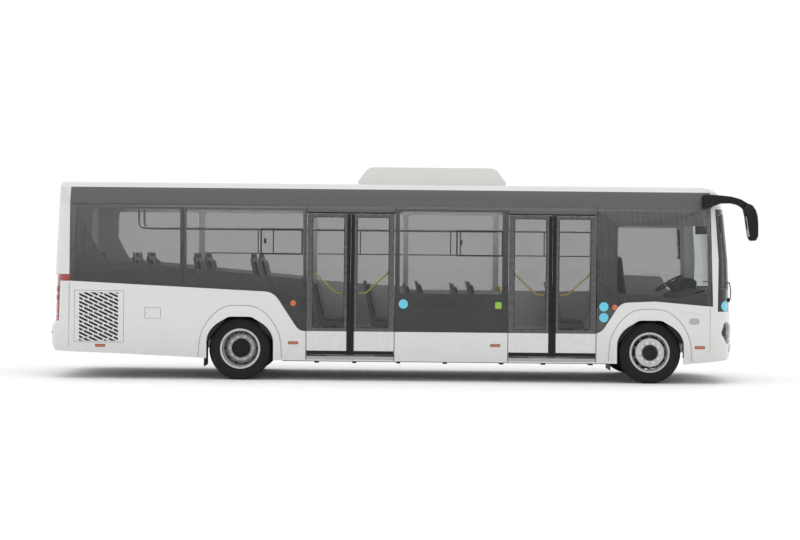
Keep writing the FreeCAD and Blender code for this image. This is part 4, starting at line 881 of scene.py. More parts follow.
WINDSCREEN = bordered_glass("windscreen_with_ceramic_border", "#eef3f0", (
    ("Z", "LESS_THAN", 1.388), ("Z", "GREATER_THAN", 2.468),
    ("X", "LESS_THAN", (1.809, 2.480, 4.662, 4.612))))
REAR_SCREEN = bordered_glass("rear_screen_with_ceramic_border", "#c9cccb", (
    ("Z", "LESS_THAN", 1.652), ("Z", "GREATER_THAN", 2.398), ("Y", "GREATER_THAN", 0.968)))

# %% [markdown]
# ## Roof
# The roof shell is glass fibre in white gelcoat. The unit on it is a moulded hood over three fans,
# which sit in flat round openings, so they are drawn as painted shade with rings and not modelled.

# %% Roof shell and roof unit
def roof_shell_finish():
    """White gelcoat, with the dark painted cove along both sides."""
    material, tree, place = start_material("gelcoat_with_dark_cove")
    axes = add(tree, "SeparateXYZ", {0: place})
    low = add(tree, "Math", {0: axes.outputs["Z"], 1: 2.786}, operation="LESS_THAN").outputs[0]
    across = add(tree, "Math", {0: axes.outputs["Y"]}, operation="ABSOLUTE").outputs[0]
    outside = add(tree, "Math", {0: across, 1: 1.13}, operation="GREATER_THAN").outputs[0]
    ahead = add(tree, "Math", {0: axes.outputs["X"], 1: 4.487}, operation="LESS_THAN").outputs[0]
    behind = add(tree, "Math", {0: axes.outputs["X"], 1: -4.812}, operation="GREATER_THAN").outputs[0]
    cove = add(tree, "Math", {0: low, 1: outside}, operation="MULTIPLY").outputs[0]
    cove = add(tree, "Math", {0: cove, 1: ahead}, operation="MULTIPLY").outputs[0]
    cove = add(tree, "Math", {0: cove, 1: behind}, operation="MULTIPLY").outputs[0]
    clouds = add(tree, "TexNoise", {"Vector": place, "Scale": 1.1, "Detail": 4}).outputs["Fac"]
    shade = add(tree, "MapRange", {0: clouds, 1: 0.3, 2: 0.7, 3: 0.0, 4: 1.0}).outputs[0]
    white = add(tree, "Mix", {0: shade, 6: srgb("#cbcbca"), 7: srgb("#c6c6c4")},
                data_type="RGBA").outputs[2]
    colour = add(tree, "Mix", {0: cove, 6: white, 7: srgb("#4a4a4c")}, data_type="RGBA").outputs[2]
    peel = add(tree, "TexNoise", {"Vector": place, "Scale": 70, "Detail": 1}).outputs["Fac"]
    relief = add(tree, "Bump", {"Height": peel, "Strength": 0.03, "Distance": 0.001}).outputs[0]
    finish_material(tree, add(tree, "BsdfPrincipled", {"Base Color": colour, "Roughness": 0.28,
                                                       "Normal": relief, "IOR": 1.5, "Coat Weight": 0.4}))
    return material


def roof_unit_finish(fans):
    """White moulded hood with round fan openings, painted near-black as painted shade behind concentric
    guards.
    """
    material, tree, place = start_material("roof_unit_hood")
    painted_opening_shade, guard = 0.0, 0.0
    for x, y in fans:
        arm = add(tree, "VectorMath", {0: place, 1: (x, y, 3.135)}, operation="DISTANCE").outputs["Value"]
        inside = add(tree, "Math", {0: arm, 1: 0.235}, operation="LESS_THAN").outputs[0]
        wave = add(tree, "Math", {0: arm, 1: 2 * math.pi / 0.028}, operation="MULTIPLY").outputs[0]
        wave = add(tree, "Math", {0: wave}, operation="SINE").outputs[0]
        ring = add(tree, "Math", {0: wave, 1: 0.72}, operation="GREATER_THAN").outputs[0]
        ring = add(tree, "Math", {0: ring, 1: inside}, operation="MULTIPLY").outputs[0]
        painted_opening_shade = add(tree, "Math", {0: painted_opening_shade, 1: inside}, operation="MAXIMUM").outputs[0]
        guard = add(tree, "Math", {0: guard, 1: ring}, operation="MAXIMUM").outputs[0]
    clouds = add(tree, "TexNoise", {"Vector": place, "Scale": 3, "Detail": 4}).outputs["Fac"]
    white = add(tree, "Mix", {0: clouds, 6: srgb("#cbcbc9"), 7: srgb("#c2c2bf")},
                data_type="RGBA").outputs[2]
    # painted shade: the fan openings are painted near-black
    colour = add(tree, "Mix", {0: painted_opening_shade, 6: white, 7: srgb("#161617")}, data_type="RGBA").outputs[2]
    colour = add(tree, "Mix", {0: guard, 6: colour, 7: srgb("#6f7072")}, data_type="RGBA").outputs[2]
    relief = add(tree, "Bump", {"Height": guard, "Strength": 0.6, "Distance": 0.004}).outputs[0]
    finish_material(tree, add(tree, "BsdfPrincipled", {"Base Color": colour, "Roughness": 0.42,
                                                       "Normal": relief, "IOR": 1.5}))
    return material


LAMP_GLASS = float_glass("polycarbonate_lamp_cover", "#f3f6f8")
ROOF_SHELL = roof_shell_finish()
ROOF_HOOD = roof_unit_finish(((-0.10, 0.0), (0.45, 0.0), (1.0, 0.0)))
for name, finish in (("front_right_rim", FRONT_WHEEL), ("front_left_rim", FRONT_WHEEL),
                     ("rear_right_rims", REAR_WHEEL), ("rear_left_rims", REAR_WHEEL),
                     ("windscreen", WINDSCREEN), ("rear_window", REAR_SCREEN),
                     ("front_lamps", LAMP_GLASS), ("roof_shell", ROOF_SHELL), ("roof_unit", ROOF_HOOD)):
    finish_part(name, finish)

# %% [markdown]
# ## Fittings on the curved ends
# The front and the rear of the bus are crowned, so a flat plate would float at its ends. Each fitting
# is drawn flat first. Then every one of its points is sent along a ray to the body's surface, and
# keeps its own height above the place where it lands.

# %% Draping a flat fitting on the body
def surface_of(*names):
    """One search tree of the CAD parts' triangles, for finding the body's outside."""
    spots, faces = [], []
    for name in names:
        data = nodes[name].data
        first = len(spots)
        spots += [vertex.co.copy() for vertex in data.vertices]
        faces += [[first + index for index in polygon.vertices] for polygon in data.polygons]
    return BVHTree.FromPolygons(spots, faces)


def slice_across(mesh, low, high, step):
    """Cut a wide flat fitting into strips, so that it can bend."""
    count = int((high - low) / step)
    for number in range(1, count):
        geometry = list(mesh.verts) + list(mesh.edges) + list(mesh.faces)
        bmesh.ops.bisect_plane(mesh, geom=geometry, plane_co=(low + number * step, 0, 0),
                               plane_no=(1, 0, 0))


def drape(mesh, surface, facing, level=None):
    """Carry points (across, out, up) to the surface that looks along facing."""
    facing = Vector(facing).normalized()
    across = Vector((-facing.y, facing.x, 0))
    for vert in mesh.verts:
        along, out, up = vert.co
        start = facing * 9 + across * along + Vector((0, 0, up if level is None else level))
        hit = surface.ray_cast(start, -facing)[0]
        vert.co = hit + facing * out + Vector((0, 0, 0 if level is None else up - level))
    return mesh


FRONT = surface_of("front_panel", "windscreen", "front_lamps", "roof_shell")
REAR = surface_of("rear_panel", "rear_bumper", "rear_hatch", "rear_window", "rear_lamps", "roof_shell")
AHEAD, BACKWARD = (1, 0, 0), (-1, 0, 0)


def add_draped(name, outline, near, depth, material, facing, body="root", bevel=0.0, holes=(),
               step=0.08):
    mesh = bmesh.new()
    add_plate(mesh, outline, near, depth, bevel, holes=holes)
    low = min(corner[0] for corner in outline)
    high = max(corner[0] for corner in outline)
    slice_across(mesh, low, high, step)
    drape(mesh, FRONT if facing == AHEAD else REAR, facing)
    return to_object(mesh, name, material, body)

# %% [markdown]
# ## The front
# Under the screen a service flap opens for the wiper motor and the washer tank. Below it are the
# headlamps, each with two projectors in a black bowl, a cooling grille, fog lamps and the blank
# number plate. A roller blind or display stands behind the top of the screen, and stays blank.

# %% Service flap lines, grille, plate and fog lamps
add_draped("front_flap_joint", rectangle(-0.93, 0.93, 0.815, 1.030, 0.05), -0.004, 0.0046, SEAL_RUBBER,
           AHEAD, holes=[rectangle(-0.925, 0.925, 0.820, 1.025, 0.046)])
add_draped("front_bumper_joint", rectangle(-1.05, 1.05, 0.612, 0.618, 0.002), -0.004, 0.0046, SEAL_RUBBER,
           AHEAD)
add_draped("front_grille_back", rectangle(-0.62, 0.62, 0.440, 0.575, 0.03), -0.004, 0.006, BLACK_PLASTIC,
           AHEAD, bevel=0.002)
for number in range(4):
    low = 0.452 + number * 0.031
    add_draped(f"front_grille_bar_{number + 1}", rectangle(-0.60, 0.60, low, low + 0.014, 0.005), 0.001,
               0.009, DARK_ALUMINIUM, AHEAD, bevel=0.002)
PLATE_BLANK = coach_paint("retroreflective_plate_blank", "#c9c9c4", dust=0.1, roughness=0.3)
add_draped("front_plate_holder", rectangle(-0.270, 0.270, 0.668, 0.792, 0.01), -0.002, 0.008,
           BLACK_PLASTIC, AHEAD, bevel=0.002)
add_draped("front_plate_blank", rectangle(-0.260, 0.260, 0.675, 0.785, 0.008), 0.006, 0.0015, PLATE_BLANK,
           AHEAD)
for side, word in SIDES:
    mesh = bmesh.new()
    add_plate(mesh, circle(side * 0.93, 0.505, 0.055), -0.003, 0.006, 0.002)
    drape(mesh, FRONT, AHEAD)
    to_object(mesh, f"{word}_fog_lamp_rim", BLACK_PLASTIC)
    mesh = bmesh.new()
    add_plate(mesh, circle(side * 0.93, 0.505, 0.043), 0.002, 0.006, 0.003)
    drape(mesh, FRONT, AHEAD)
    to_object(mesh, f"{word}_fog_lamp", CLEAR_LENS)

# %% [markdown]
# ## Headlamps
# Each headlamp is a clear cover over a black bowl with two projectors. The bowl follows the cover's
# outline a little deeper in, and a projector is a spun metal ring round a spun lens.

# %% Headlamp bowls and projectors
LAMP_OUTLINE = ((-1.196, 0.742), (-1.146, 0.915), (-0.778, 0.765), (-0.797, 0.645), (-1.098, 0.575))
for side, word in SIDES:
    outline = [(-side * across, up) for across, up in LAMP_OUTLINE]
    mesh = bmesh.new()
    add_plate(mesh, rounded(outline, 0.03), -0.057, 0.004)
    slice_across(mesh, min(across for across, _ in outline), max(across for across, _ in outline), 0.04)
    drape(mesh, FRONT, AHEAD)
    to_object(mesh, f"{word}_headlamp_bowl", BLACK_PLASTIC)
    for number, (across, up, radius) in enumerate(((1.035, 0.745, 0.056), (0.895, 0.728, 0.045))):
        spot = FRONT.ray_cast(Vector((9, side * across, up)), Vector((-1, 0, 0)))[0]
        ring = [(radius, -0.054), (radius, -0.040), (radius - 0.004, -0.037), (radius - 0.010, -0.040),
                (radius - 0.014, -0.054)]
        mesh = bmesh.new()
        spin_round(mesh, ring, spot, 32, AHEAD)
        to_object(mesh, f"{word}_projector_ring_{number + 1}", ALUMINIUM)
        mesh = bmesh.new()
        dome = [(0.0, -0.054), (radius - 0.014, -0.054), (radius - 0.016, -0.046),
                (radius - 0.026, -0.038), (radius * 0.3, -0.034), (0.0, -0.033)]
        spin_round(mesh, dome, spot, 32, AHEAD)
        to_object(mesh, f"{word}_projector_lens_{number + 1}", CLEAR_LENS)

# %% [markdown]
# ## Wipers
# Two wipers rest on the screen. An arm and its blade are bent bars through a few points that stand
# a little off the glass, and a round plate covers each pivot.

# %% Wipers
BLADE_POINTS = 9
ARM_STATIONS = ((0.0, 0.030), (0.2, 0.040), (0.7, 0.036), (1.0, 0.022))  # share of the way, height


def between(first, last, share):
    return [a * (1 - share) + b * share for a, b in zip(first, last)]


def on_front(across, up, out):
    """A point that stands out from the front of the bus."""
    return FRONT.ray_cast(Vector((9, across, up)), Vector((-1, 0, 0)))[0] + Vector((out, 0, 0))


for word, pivot, tip, blade in (("right", (-0.93, 1.22), (-0.47, 1.47), ((-0.98, 1.475), (0.02, 1.455))),
                                ("left", (0.10, 1.22), (0.56, 1.47), ((0.10, 1.475), (1.02, 1.455)))):
    mesh = bmesh.new()
    add_plate(mesh, circle(*pivot, 0.032, 24), -0.002, 0.030, 0.006)
    drape(mesh, FRONT, AHEAD)
    to_object(mesh, f"{word}_wiper_pivot", BLACK_PLASTIC)
    points = [on_front(*between(pivot, tip, share), out) for share, out in ARM_STATIONS]
    arm = add_pipe(bmesh.new(), points, 0.008)
    to_object(arm, f"{word}_wiper_arm", DARK_ALUMINIUM)
    points = [on_front(*between(*blade, i / (BLADE_POINTS - 1)), 0.016) for i in range(BLADE_POINTS)]
    to_object(add_pipe(bmesh.new(), points, 0.009), f"{word}_wiper_blade", SEAL_RUBBER)

# %% [markdown]
# ## Display box
# The destination display sits behind the top of the screen. It is an eased box with a dark front
# plate, and it shows nothing.

# %% Blank display box behind the screen
display = bmesh.new()
add_block(display, (4.62, -0.86, 2.20), (4.72, 0.86, 2.45), 0.01, 3)
to_object(display, "destination_display_box", DASH_PLASTIC)
mesh = bmesh.new()
add_plate(mesh, rectangle(-0.82, 0.82, 2.235, 2.415, 0.01), 4.72, 0.004, 0.001, plane="yz")
to_object(mesh, "destination_display_blank", HUB_BLACK)

# %% [markdown]
# ## The rear
# The engine hatch breathes through a bank of louvres and opens upwards by a recessed handle. Round
# lamps sit in the tall lamp strips, with reflectors and the blank plate on the bumper.

# %% Hatch louvres, handle, lamps and plate
REAR_LAMPS = ((0.93, CLEAR_LENS), (1.05, AMBER_BUTTON), (1.17, RED_LENS), (1.29, RED_LENS))
add_draped("hatch_louvre_back", rectangle(-0.58, 0.58, 0.955, 1.245, 0.02), -0.003, 0.0045, BLACK_PLASTIC,
           BACKWARD, "rear_hatch")
for number in range(9):
    low = 0.966 + number * 0.0305
    add_draped(f"hatch_louvre_{number + 1}", rectangle(-0.565, 0.565, low, low + 0.017, 0.006), 0.0,
               0.010, WHITE_PAINT, BACKWARD, "rear_hatch", bevel=0.003)
add_draped("hatch_handle", rectangle(-0.11, 0.11, 0.895, 0.930, 0.012), -0.002, 0.016, BLACK_PLASTIC,
           BACKWARD, "rear_hatch", bevel=0.005)
add_draped("rear_plate_holder", rectangle(-0.270, 0.270, 0.610, 0.734, 0.01), -0.002, 0.008,
           BLACK_PLASTIC, BACKWARD, bevel=0.002)
add_draped("rear_plate_blank", rectangle(-0.260, 0.260, 0.617, 0.727, 0.008), 0.006, 0.0015, PLATE_BLANK,
           BACKWARD)
add_draped("high_brake_lamp", rectangle(-0.21, 0.21, 2.482, 2.512, 0.012), -0.002, 0.014, RED_LENS,
           BACKWARD, bevel=0.004)
for side, word in SIDES:
    # the reflectors take the red lens finish, whose faint glow is painted light on a reflector, as it is no
    # lamp
    add_draped(f"rear_{word}_reflector",
               rectangle(side * 1.0 - 0.07, side * 1.0 + 0.07, 0.640, 0.682, 0.012), -0.002,
               0.010, RED_LENS, BACKWARD, bevel=0.003)
    for number, (up, finish) in enumerate(REAR_LAMPS, start=1):
        for part, radius, near, depth, cover, slot in (
                ("bezel", 0.050, -0.002, 0.006, BLACK_PLASTIC, "black_plastic"),
                ("lens", 0.043, 0.003, 0.007, finish, "lamp_red")):
            mesh = bmesh.new()
            add_plate(mesh, circle(-side * 1.085, up, radius), near, depth, 0.003)
            drape(mesh, REAR, BACKWARD)
            to_object(mesh, f"rear_{word}_lamp_{part}_{number}", cover)

# %% [markdown]
# ## Roof hatches and arch liners
# Two escape hatches stand on rubber seals on the roof. Inside each wheel arch a black polyethylene
# liner keeps stones off the floor; it is one bent sheet, so it gets its thickness at the end.

# %% Roof hatches
for word, x in (("rear", -2.95), ("front", 2.75)):
    seal, lid = bmesh.new(), bmesh.new()
    add_plate(seal, rectangle(x - 0.36, x + 0.36, -0.36, 0.36, 0.09), 2.862, 0.005, 0.002, plane="xy")
    to_object(seal, f"{word}_roof_hatch_seal", SEAL_RUBBER)
    add_plate(lid, rectangle(x - 0.385, x + 0.385, -0.385, 0.385, 0.10), 2.867, 0.010, 0.005, plane="xy")
    to_object(lid, f"{word}_roof_hatch_lid", ROOF_SHELL_WHITE)

# %% [markdown]
# ## Arch liners
# The liner's bend is a row of edges, pushed across the arch, rounded with a bevel and given its
# thickness last, as a real sheet has the same thickness everywhere.

# %% Arch liners
ARCHES = (("front", FRONT_X, 0.575, 0.640, 0.960), ("rear", REAR_X, 0.525, 0.650, 0.960))
for word, axle, half, house_y, house_top in ARCHES:
    for side, side_word in SIDES:
        reach = half - 0.004
        top = house_top - 0.004
        bend = [(-reach, 0.345), (-reach, 0.78), (-0.42, top), (0.42, top), (reach, 0.78), (reach, 0.345)]
        mesh = bmesh.new()
        verts = [mesh.verts.new((axle + along, side * (house_y + 0.004), up)) for along, up in bend]
        edges = [mesh.edges.new(pair) for pair in zip(verts, verts[1:])]
        grown = bmesh.ops.extrude_edge_only(mesh, edges=edges)["geom"]
        moved = [item for item in grown if isinstance(item, bmesh.types.BMVert)]
        bmesh.ops.translate(mesh, verts=moved, vec=(0, side * (1.224 - house_y - 0.004), 0))
        corners = [edge for edge in mesh.edges if abs(edge.calc_face_angle(0.0)) > 0.3]
        bmesh.ops.bevel(mesh, geom=corners, offset=0.12, segments=6, profile=0.5, affect="EDGES",
                        material=-1)
        bmesh.ops.recalc_face_normals(mesh, faces=mesh.faces)
        bmesh.ops.solidify(mesh, geom=list(mesh.faces), thickness=0.002)
        to_object(mesh, f"{word}_{side_word}_arch_liner", BLACK_PLASTIC)

# %% [markdown]
# ## Body side details
# Narrow rubber fills the joints between panes. The wheel arches end in a black lip that is rounder
# than the steel behind it, and a grey bead along each flare's crease is painted shade where the flare
# leaves the side wall. Black plates fill the engine door's slots as painted shade, so that they read crisp
# and dark.

# %% Joint rubbers
DOOR_JOINTS = [edge for _, start in DOORS for edge in (start - 0.0025, start + DOOR_WIDTH + 0.0025)]
joints = bmesh.new()
for x in DOOR_JOINTS:
    add_plate(joints, square(x - 0.002, x + 0.002, 0.72, 2.498), SIDE + 0.004, 0.030)
add_plate(joints, square(-3.168, -3.164, 1.40, 2.498), SIDE + 0.002, 0.004)
to_object(joints, "pane_joint_rubbers", SEAL_RUBBER)

# %% [markdown]
# ## Arch edges
# A lip is one flat plate between a round outer line and the steel's own line. A grey bead along the
# crease of the flare is a thin bar that stands for the crease's shade, painted shade; the swage in front is a
# bar under the paint.

# %% Arch lips, flare beads and seams
ARCH_HALF, ARCH_TOP, ARCH_FOOT = 0.485, 0.921, 0.545
FLARE_OUT = 0.020
SWAGE = ((4.030, 0.003, 1.061), (4.180, 0.001, 1.048), (4.330, 0.001, 1.022), (4.480, 0.003, 0.990))
FLARE_CREASE = ((0.606, 0.330), (0.597, 0.580), (0.541, 0.745), (0.430, 0.918), (0.282, 1.040),
                (0.160, 1.085))
for side, side_word in SIDES:
    lips, beads = bmesh.new(), bmesh.new()
    for axle in (FRONT_X, REAR_X):
        outer = [(axle + ARCH_HALF * math.cos(math.pi * i / 40),
                  ARCH_FOOT + (ARCH_TOP - ARCH_FOOT) * math.sin(math.pi * i / 40))
                 for i in range(41)]
        inner = [(axle + across * (ARCH_HALF - 0.006), up) for across, up in
                 ((-1, ARCH_FOOT), (-1, 0.572), (-0.37, 0.912), (0.37, 0.912), (1, 0.572),
                  (1, ARCH_FOOT))]
        add_plate(lips, outer + inner[1:-1], side * (-SIDE + FLARE_OUT - 0.001), side * 0.0025)
        crease = [(axle - along, up) for along, up in FLARE_CREASE]
        crease += [(axle + along, up) for along, up in reversed(FLARE_CREASE)]
        # the grey bead stands for the shade at the flare's crease: painted shade
        add_pipe(beads, [(along, side * (-SIDE - 0.002), up) for along, up in crease], 0.0065, 2, 5)
    to_object(lips, f"{side_word}_arch_lips", BLACK_PLASTIC)
    to_object(beads, f"{side_word}_flare_beads", CREASE_SHADE_GREY)
    swage = add_pipe(bmesh.new(), [(x, side * (-SIDE - inset), z) for x, inset, z in SWAGE], 0.006, 2, 5)
    to_object(swage, f"{side_word}_front_swage", WHITE_PAINT)
    seams = bmesh.new()
    for x, low, high in ((-4.812, 0.46, 1.395), (4.487, 0.46, 1.100)):
        add_plate(seams, square(x - 0.0015, x + 0.0015, low, high),
                  side * (-SIDE - 0.001), side * 0.0015)
    to_object(seams, f"{side_word}_panel_seams", SEAL_RUBBER)

# %% [markdown]
# ## Slot liners
# The slots lean and are staggered, so whole rows are laid over the field first. Four cutting planes
# then trim them to its edges, and what is left is pushed out by its thickness.

# %% Engine door slot plates, painted shade
SLOT_FIELD = (-4.664, -4.097, 0.550, 1.252)
SLOT_PITCH, SLOT_LENGTH, SLOT_DEPTH, ROW_PITCH, SLOT_SLOPE = 0.145, 0.126, 0.031, 0.0555, 0.46


def add_slots(mesh):
    """Leaning parallelograms in staggered rows, cut off at the edges of the field."""
    rear, front, low, high = SLOT_FIELD
    for row in range(int((high - low + SLOT_SLOPE * (front - rear)) / ROW_PITCH) + 1):
        for step in range(-1, 5):
            start = rear + (step + (row % 2) / 2) * SLOT_PITCH
            foot = low + row * ROW_PITCH - SLOT_SLOPE * (start - rear) - 0.0035
            fall = SLOT_SLOPE * SLOT_LENGTH
            corners = ((start, foot), (start + SLOT_LENGTH, foot - fall),
                       (start + SLOT_LENGTH, foot - fall + SLOT_DEPTH), (start, foot + SLOT_DEPTH))
            mesh.faces.new([mesh.verts.new((x - 0.002, SIDE + 0.0005, z)) for x, z in corners])
    for spot, outward in (((rear, 0, 0), (-1, 0, 0)), ((front, 0, 0), (1, 0, 0)),
                          ((0, 0, low), (0, 0, -1)), ((0, 0, high), (0, 0, 1))):
        everything = list(mesh.verts) + list(mesh.edges) + list(mesh.faces)
        bmesh.ops.bisect_plane(mesh, geom=everything, plane_co=spot, plane_no=outward, clear_outer=True)
    grown = bmesh.ops.extrude_face_region(mesh, geom=list(mesh.faces))["geom"]
    far = [item for item in grown if isinstance(item, bmesh.types.BMVert)]
    bmesh.ops.translate(mesh, verts=far, vec=(0, -0.0015, 0))
    return mesh


# black plates in the slot openings: painted shade
to_object(add_slots(bmesh.new()), "engine_door_slot_shade_plates", HUB_BLACK, "engine_side_door")

# %% [markdown]
# ## Brake discs
# A ventilated disc shows between the front wheel's holes: two rings of iron with a groove between
# them. It turns with the wheel, and one spun section makes it.

# %% Brake discs behind the front wheels
for side, word in SIDES:
    mesh = bmesh.new()
    ring = [(0.135, 1.128), (0.238, 1.128), (0.238, 1.138), (0.205, 1.138), (0.205, 1.146),
            (0.238, 1.146), (0.238, 1.156), (0.135, 1.156)]
    spin_round(mesh, [(radius, side * out) for radius, out in ring], (FRONT_X, 0, AXLE_Z), 64)
    to_object(mesh, f"front_{word}_brake_disc", CHASSIS, f"front_{word}_wheel")

# %% [markdown]
# ## Right mirror
# The right mirror hangs ahead of the screen on a curved neck. The neck is a bevelled plate, and the
# housing is a row of outlines that shrink towards both faces, so that it bulges like a moulding.

# %% Gooseneck mirror on the right
MIRROR_NECK = ((4.358, 2.562), (4.358, 2.756), (4.560, 2.748), (4.760, 2.728), (4.900, 2.690),
               (5.030, 2.612), (5.095, 2.520),
               (4.980, 2.470), (4.930, 2.560), (4.860, 2.606), (4.760, 2.630), (4.600, 2.624),
               (4.470, 2.570))
MIRROR_SHELL = ((4.990, 2.632), (5.055, 2.605), (5.100, 2.540), (5.128, 2.450), (5.139, 2.330),
                (5.139, 2.150),
                (5.110, 2.092), (5.035, 2.088), (5.008, 2.130), (4.983, 2.290), (4.957, 2.450),
                (4.930, 2.560))


def add_pillow(mesh, corners, middle, half, crown=((1.0, 0.62), (0.96, 0.84), (0.80, 0.96), (0.45, 1.0))):
    """A moulded housing: copies of an outline that shrink towards both faces, joined in rings."""
    centre = sum((Vector(corner) for corner in corners), Vector((0, 0))) / len(corners)
    layers = [(-depth, size) for depth, size in crown]
    layers += [(depth, size) for depth, size in reversed(crown)]
    rings = []
    for depth, size in layers:
        spots = [centre + (Vector(corner) - centre) * size for corner in corners]
        rings.append([mesh.verts.new((spot.x, middle + depth * half, spot.y)) for spot in spots])
    for first, second in zip(rings, rings[1:]):
        for i in range(len(corners)):
            mesh.faces.new((first[i - 1], first[i], second[i], second[i - 1]))
    mesh.faces.new(rings[0])
    mesh.faces.new(rings[-1])
    return mesh


mesh = bmesh.new()
add_plate(mesh, rounded(MIRROR_NECK, 0.028, 3), -1.252, -0.105, 0.010)
neck = to_object(mesh, "right_mirror_neck", BLACK_PLASTIC, smooth=60)
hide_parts("right_mirror")
mesh = bmesh.new()
add_pillow(mesh, rounded(MIRROR_SHELL, 0.014, 2), -1.350, 0.109)
head = to_object(mesh, "right_mirror_shell", BLACK_PLASTIC, smooth=60)
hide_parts("right_mirror")
mesh = bmesh.new()
add_block(mesh, (4.360, -1.330, 2.566), (4.496, -1.190, 2.752), 0.016, 3)
foot = to_object(mesh, "right_mirror_foot", BLACK_PLASTIC, smooth=60)
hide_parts("right_mirror")

# %% [markdown]
# ## Front roundel
# One vinyl disc wraps the front corner. It is cut into strips before it is draped, so that it bends.

# %% Blue roundel on the front corner
mesh = bmesh.new()
add_plate(mesh, circle(-1.10, 1.135, 0.075, 36), 0.0005, 0.0012)
slice_across(mesh, -1.175, -1.025, 0.02)
drape(mesh, FRONT, AHEAD)
to_object(mesh, "front_blue_roundel", BLUE_VINYL)

# %% [markdown]
# ## Seat cushions
# A bus seat is a moulded shell with thin foam pads under woven moquette. One cushion and one back
# pad are blown up with Blender's cloth: the closed cover is remeshed evenly, pressure swells it for
# twenty frames, and no point may move further than foam would let it. Every seat then gets a copy.

# %% Moquette
def moquette():
    """Woven pile in slate grey; the 2 mm weave is drawn three times as coarse, so that it shows."""
    material, tree, place = start_material("woven_moquette_slate")
    warp = add(tree, "TexWave", {"Vector": place, "Scale": 26, "Distortion": 0.6, "Detail": 1},
               bands_direction="Y").outputs["Fac"]
    weft = add(tree, "TexWave", {"Vector": place, "Scale": 26, "Distortion": 0.6, "Detail": 1},
               bands_direction="X").outputs["Fac"]
    weave = add(tree, "Math", {0: warp, 1: weft}, operation="MULTIPLY").outputs[0]
    flecks = add(tree, "TexVoronoi", {"Vector": place, "Scale": 55}).outputs["Distance"]
    light = add(tree, "Math", {0: flecks, 1: 0.17}, operation="LESS_THAN").outputs[0]
    base = add(tree, "Mix", {0: weave, 6: srgb("#34383f"), 7: srgb("#50565f")},
               data_type="RGBA").outputs[2]
    colour = add(tree, "Mix", {0: light, 6: base, 7: srgb("#8b93a0")}, data_type="RGBA").outputs[2]
    relief = add(tree, "Bump", {"Height": weave, "Strength": 0.5, "Distance": 0.0015}).outputs[0]
    finish_material(tree,
                    add(tree, "BsdfPrincipled", {"Base Color": colour, "Roughness": 0.9, "Normal": relief,
                                                       "IOR": 1.45, "Sheen Weight": 0.35}))
    return material


MOQUETTE = moquette()

# %% [markdown]
# ## Stuffing a cushion
# The cover is swollen first. Where the foam is sewn down, its points are then lowered along two
# channels, and the crown between them stands up a little.

# %% Blowing up one cushion and one back pad
def stuffed(name, size, cap, channels):
    """A padded form about its own origin: swollen with cloth pressure, then sewn at channels."""
    shape = bmesh.new()
    bmesh.ops.create_cube(shape, size=1.0)
    bmesh.ops.scale(shape, vec=size, verts=shape.verts)
    bmesh.ops.bevel(shape, geom=list(shape.edges), offset=min(size) * 0.32, segments=2, profile=0.5,
                    affect="EDGES", material=-1)
    data = bpy.data.meshes.new(name)
    shape.to_mesh(data)
    shape.free()
    holder = bpy.data.objects.new(name, data)
    bpy.context.scene.collection.objects.link(holder)
    even = holder.modifiers.new("even", "REMESH")
    even.mode = "VOXEL"
    even.voxel_size = 0.0125
    flat = bpy.data.meshes.new_from_object(holder.evaluated_get(bpy.context.evaluated_depsgraph_get()))
    holder.modifiers.clear()
    holder.data = flat
    start = [vertex.co.copy() for vertex in flat.vertices]
    end = start
    cloth = holder.modifiers.new("stuffing", "CLOTH")
    cloth.settings.use_pressure = True
    cloth.settings.uniform_pressure_force = 4
    cloth.settings.effector_weights.gravity = 0
    for number in range(1, 21):
        bpy.context.scene.frame_set(number)
    blown = holder.evaluated_get(bpy.context.evaluated_depsgraph_get())
    end = [vertex.co.copy() for vertex in blown.data.vertices]
    holder.modifiers.clear()
    bpy.context.scene.frame_set(1)
    result = bmesh.new()
    result.from_mesh(flat)
    for vert, before, after in zip(result.verts, start, end):
        move = after - before
        if move.length > cap:
            move *= cap / move.length
        vert.co = before + move
        crown = max(0.0, 1 - (2 * before.x / size[0]) ** 2) * max(0.0, 1 - (2 * before.y / size[1]) ** 2)
        if before.z > 0:
            vert.co.z += 0.004 * crown
            for channel in channels:
                vert.co.z -= 0.006 * math.exp(-((before.y - channel) / 0.009) ** 2)
        else:
            vert.co.z = max(vert.co.z, -size[2] / 2)
    bpy.data.objects.remove(holder)
    return result


CUSHION = stuffed("cushion_blank", (0.345, 0.385, 0.040), 0.010, (-0.125, 0.125))
BACK_PAD = stuffed("back_pad_blank", (0.520, 0.385, 0.032), 0.009, (-0.125, 0.125))
print("cushion faces:", len(CUSHION.faces), "back pad faces:", len(BACK_PAD.faces))

# %% [markdown]
# ## Placing the pads
# Each seat gets a copy of both pads. The back pad is turned up on its end and leans as the shell does.

# %% A cushion and a back pad on every seat
SEAT_LOW, SEAT_DECK = 0.358 + 0.450, 0.700 + 0.450
BACK_LEAN = math.atan2(0.150, 0.620)
PAD_UP, PAD_OUT = 0.335, 0.0185  # the back pad's middle, along the back and out from it
OUTER_Y, INNER_Y = 1.190 - 0.225, 1.190 - 0.665
SEATS = [(x, side * y, SEAT_DECK) for side in (-1, 1) for x in (-3.790, -2.900, -2.070)
         for y in (OUTER_Y, INNER_Y)]
SEATS += [(x, side * y, SEAT_LOW)
          for x, side in ((-1.250, 1), (-0.450, 1), (0.350, 1), (1.150, 1), (2.400, 1),
                                                  (0.150, -1), (0.850, -1)) for y in (OUTER_Y, INNER_Y)]
SEATS += [(-4.580, (number - 2) * 0.440, SEAT_DECK) for number in range(5)]


def place_pad(blank, name, matrix):
    mesh = blank.copy()
    bmesh.ops.transform(mesh, matrix=matrix, verts=mesh.verts)
    pad = to_object(mesh, name, MOQUETTE, smooth=70)
    return pad


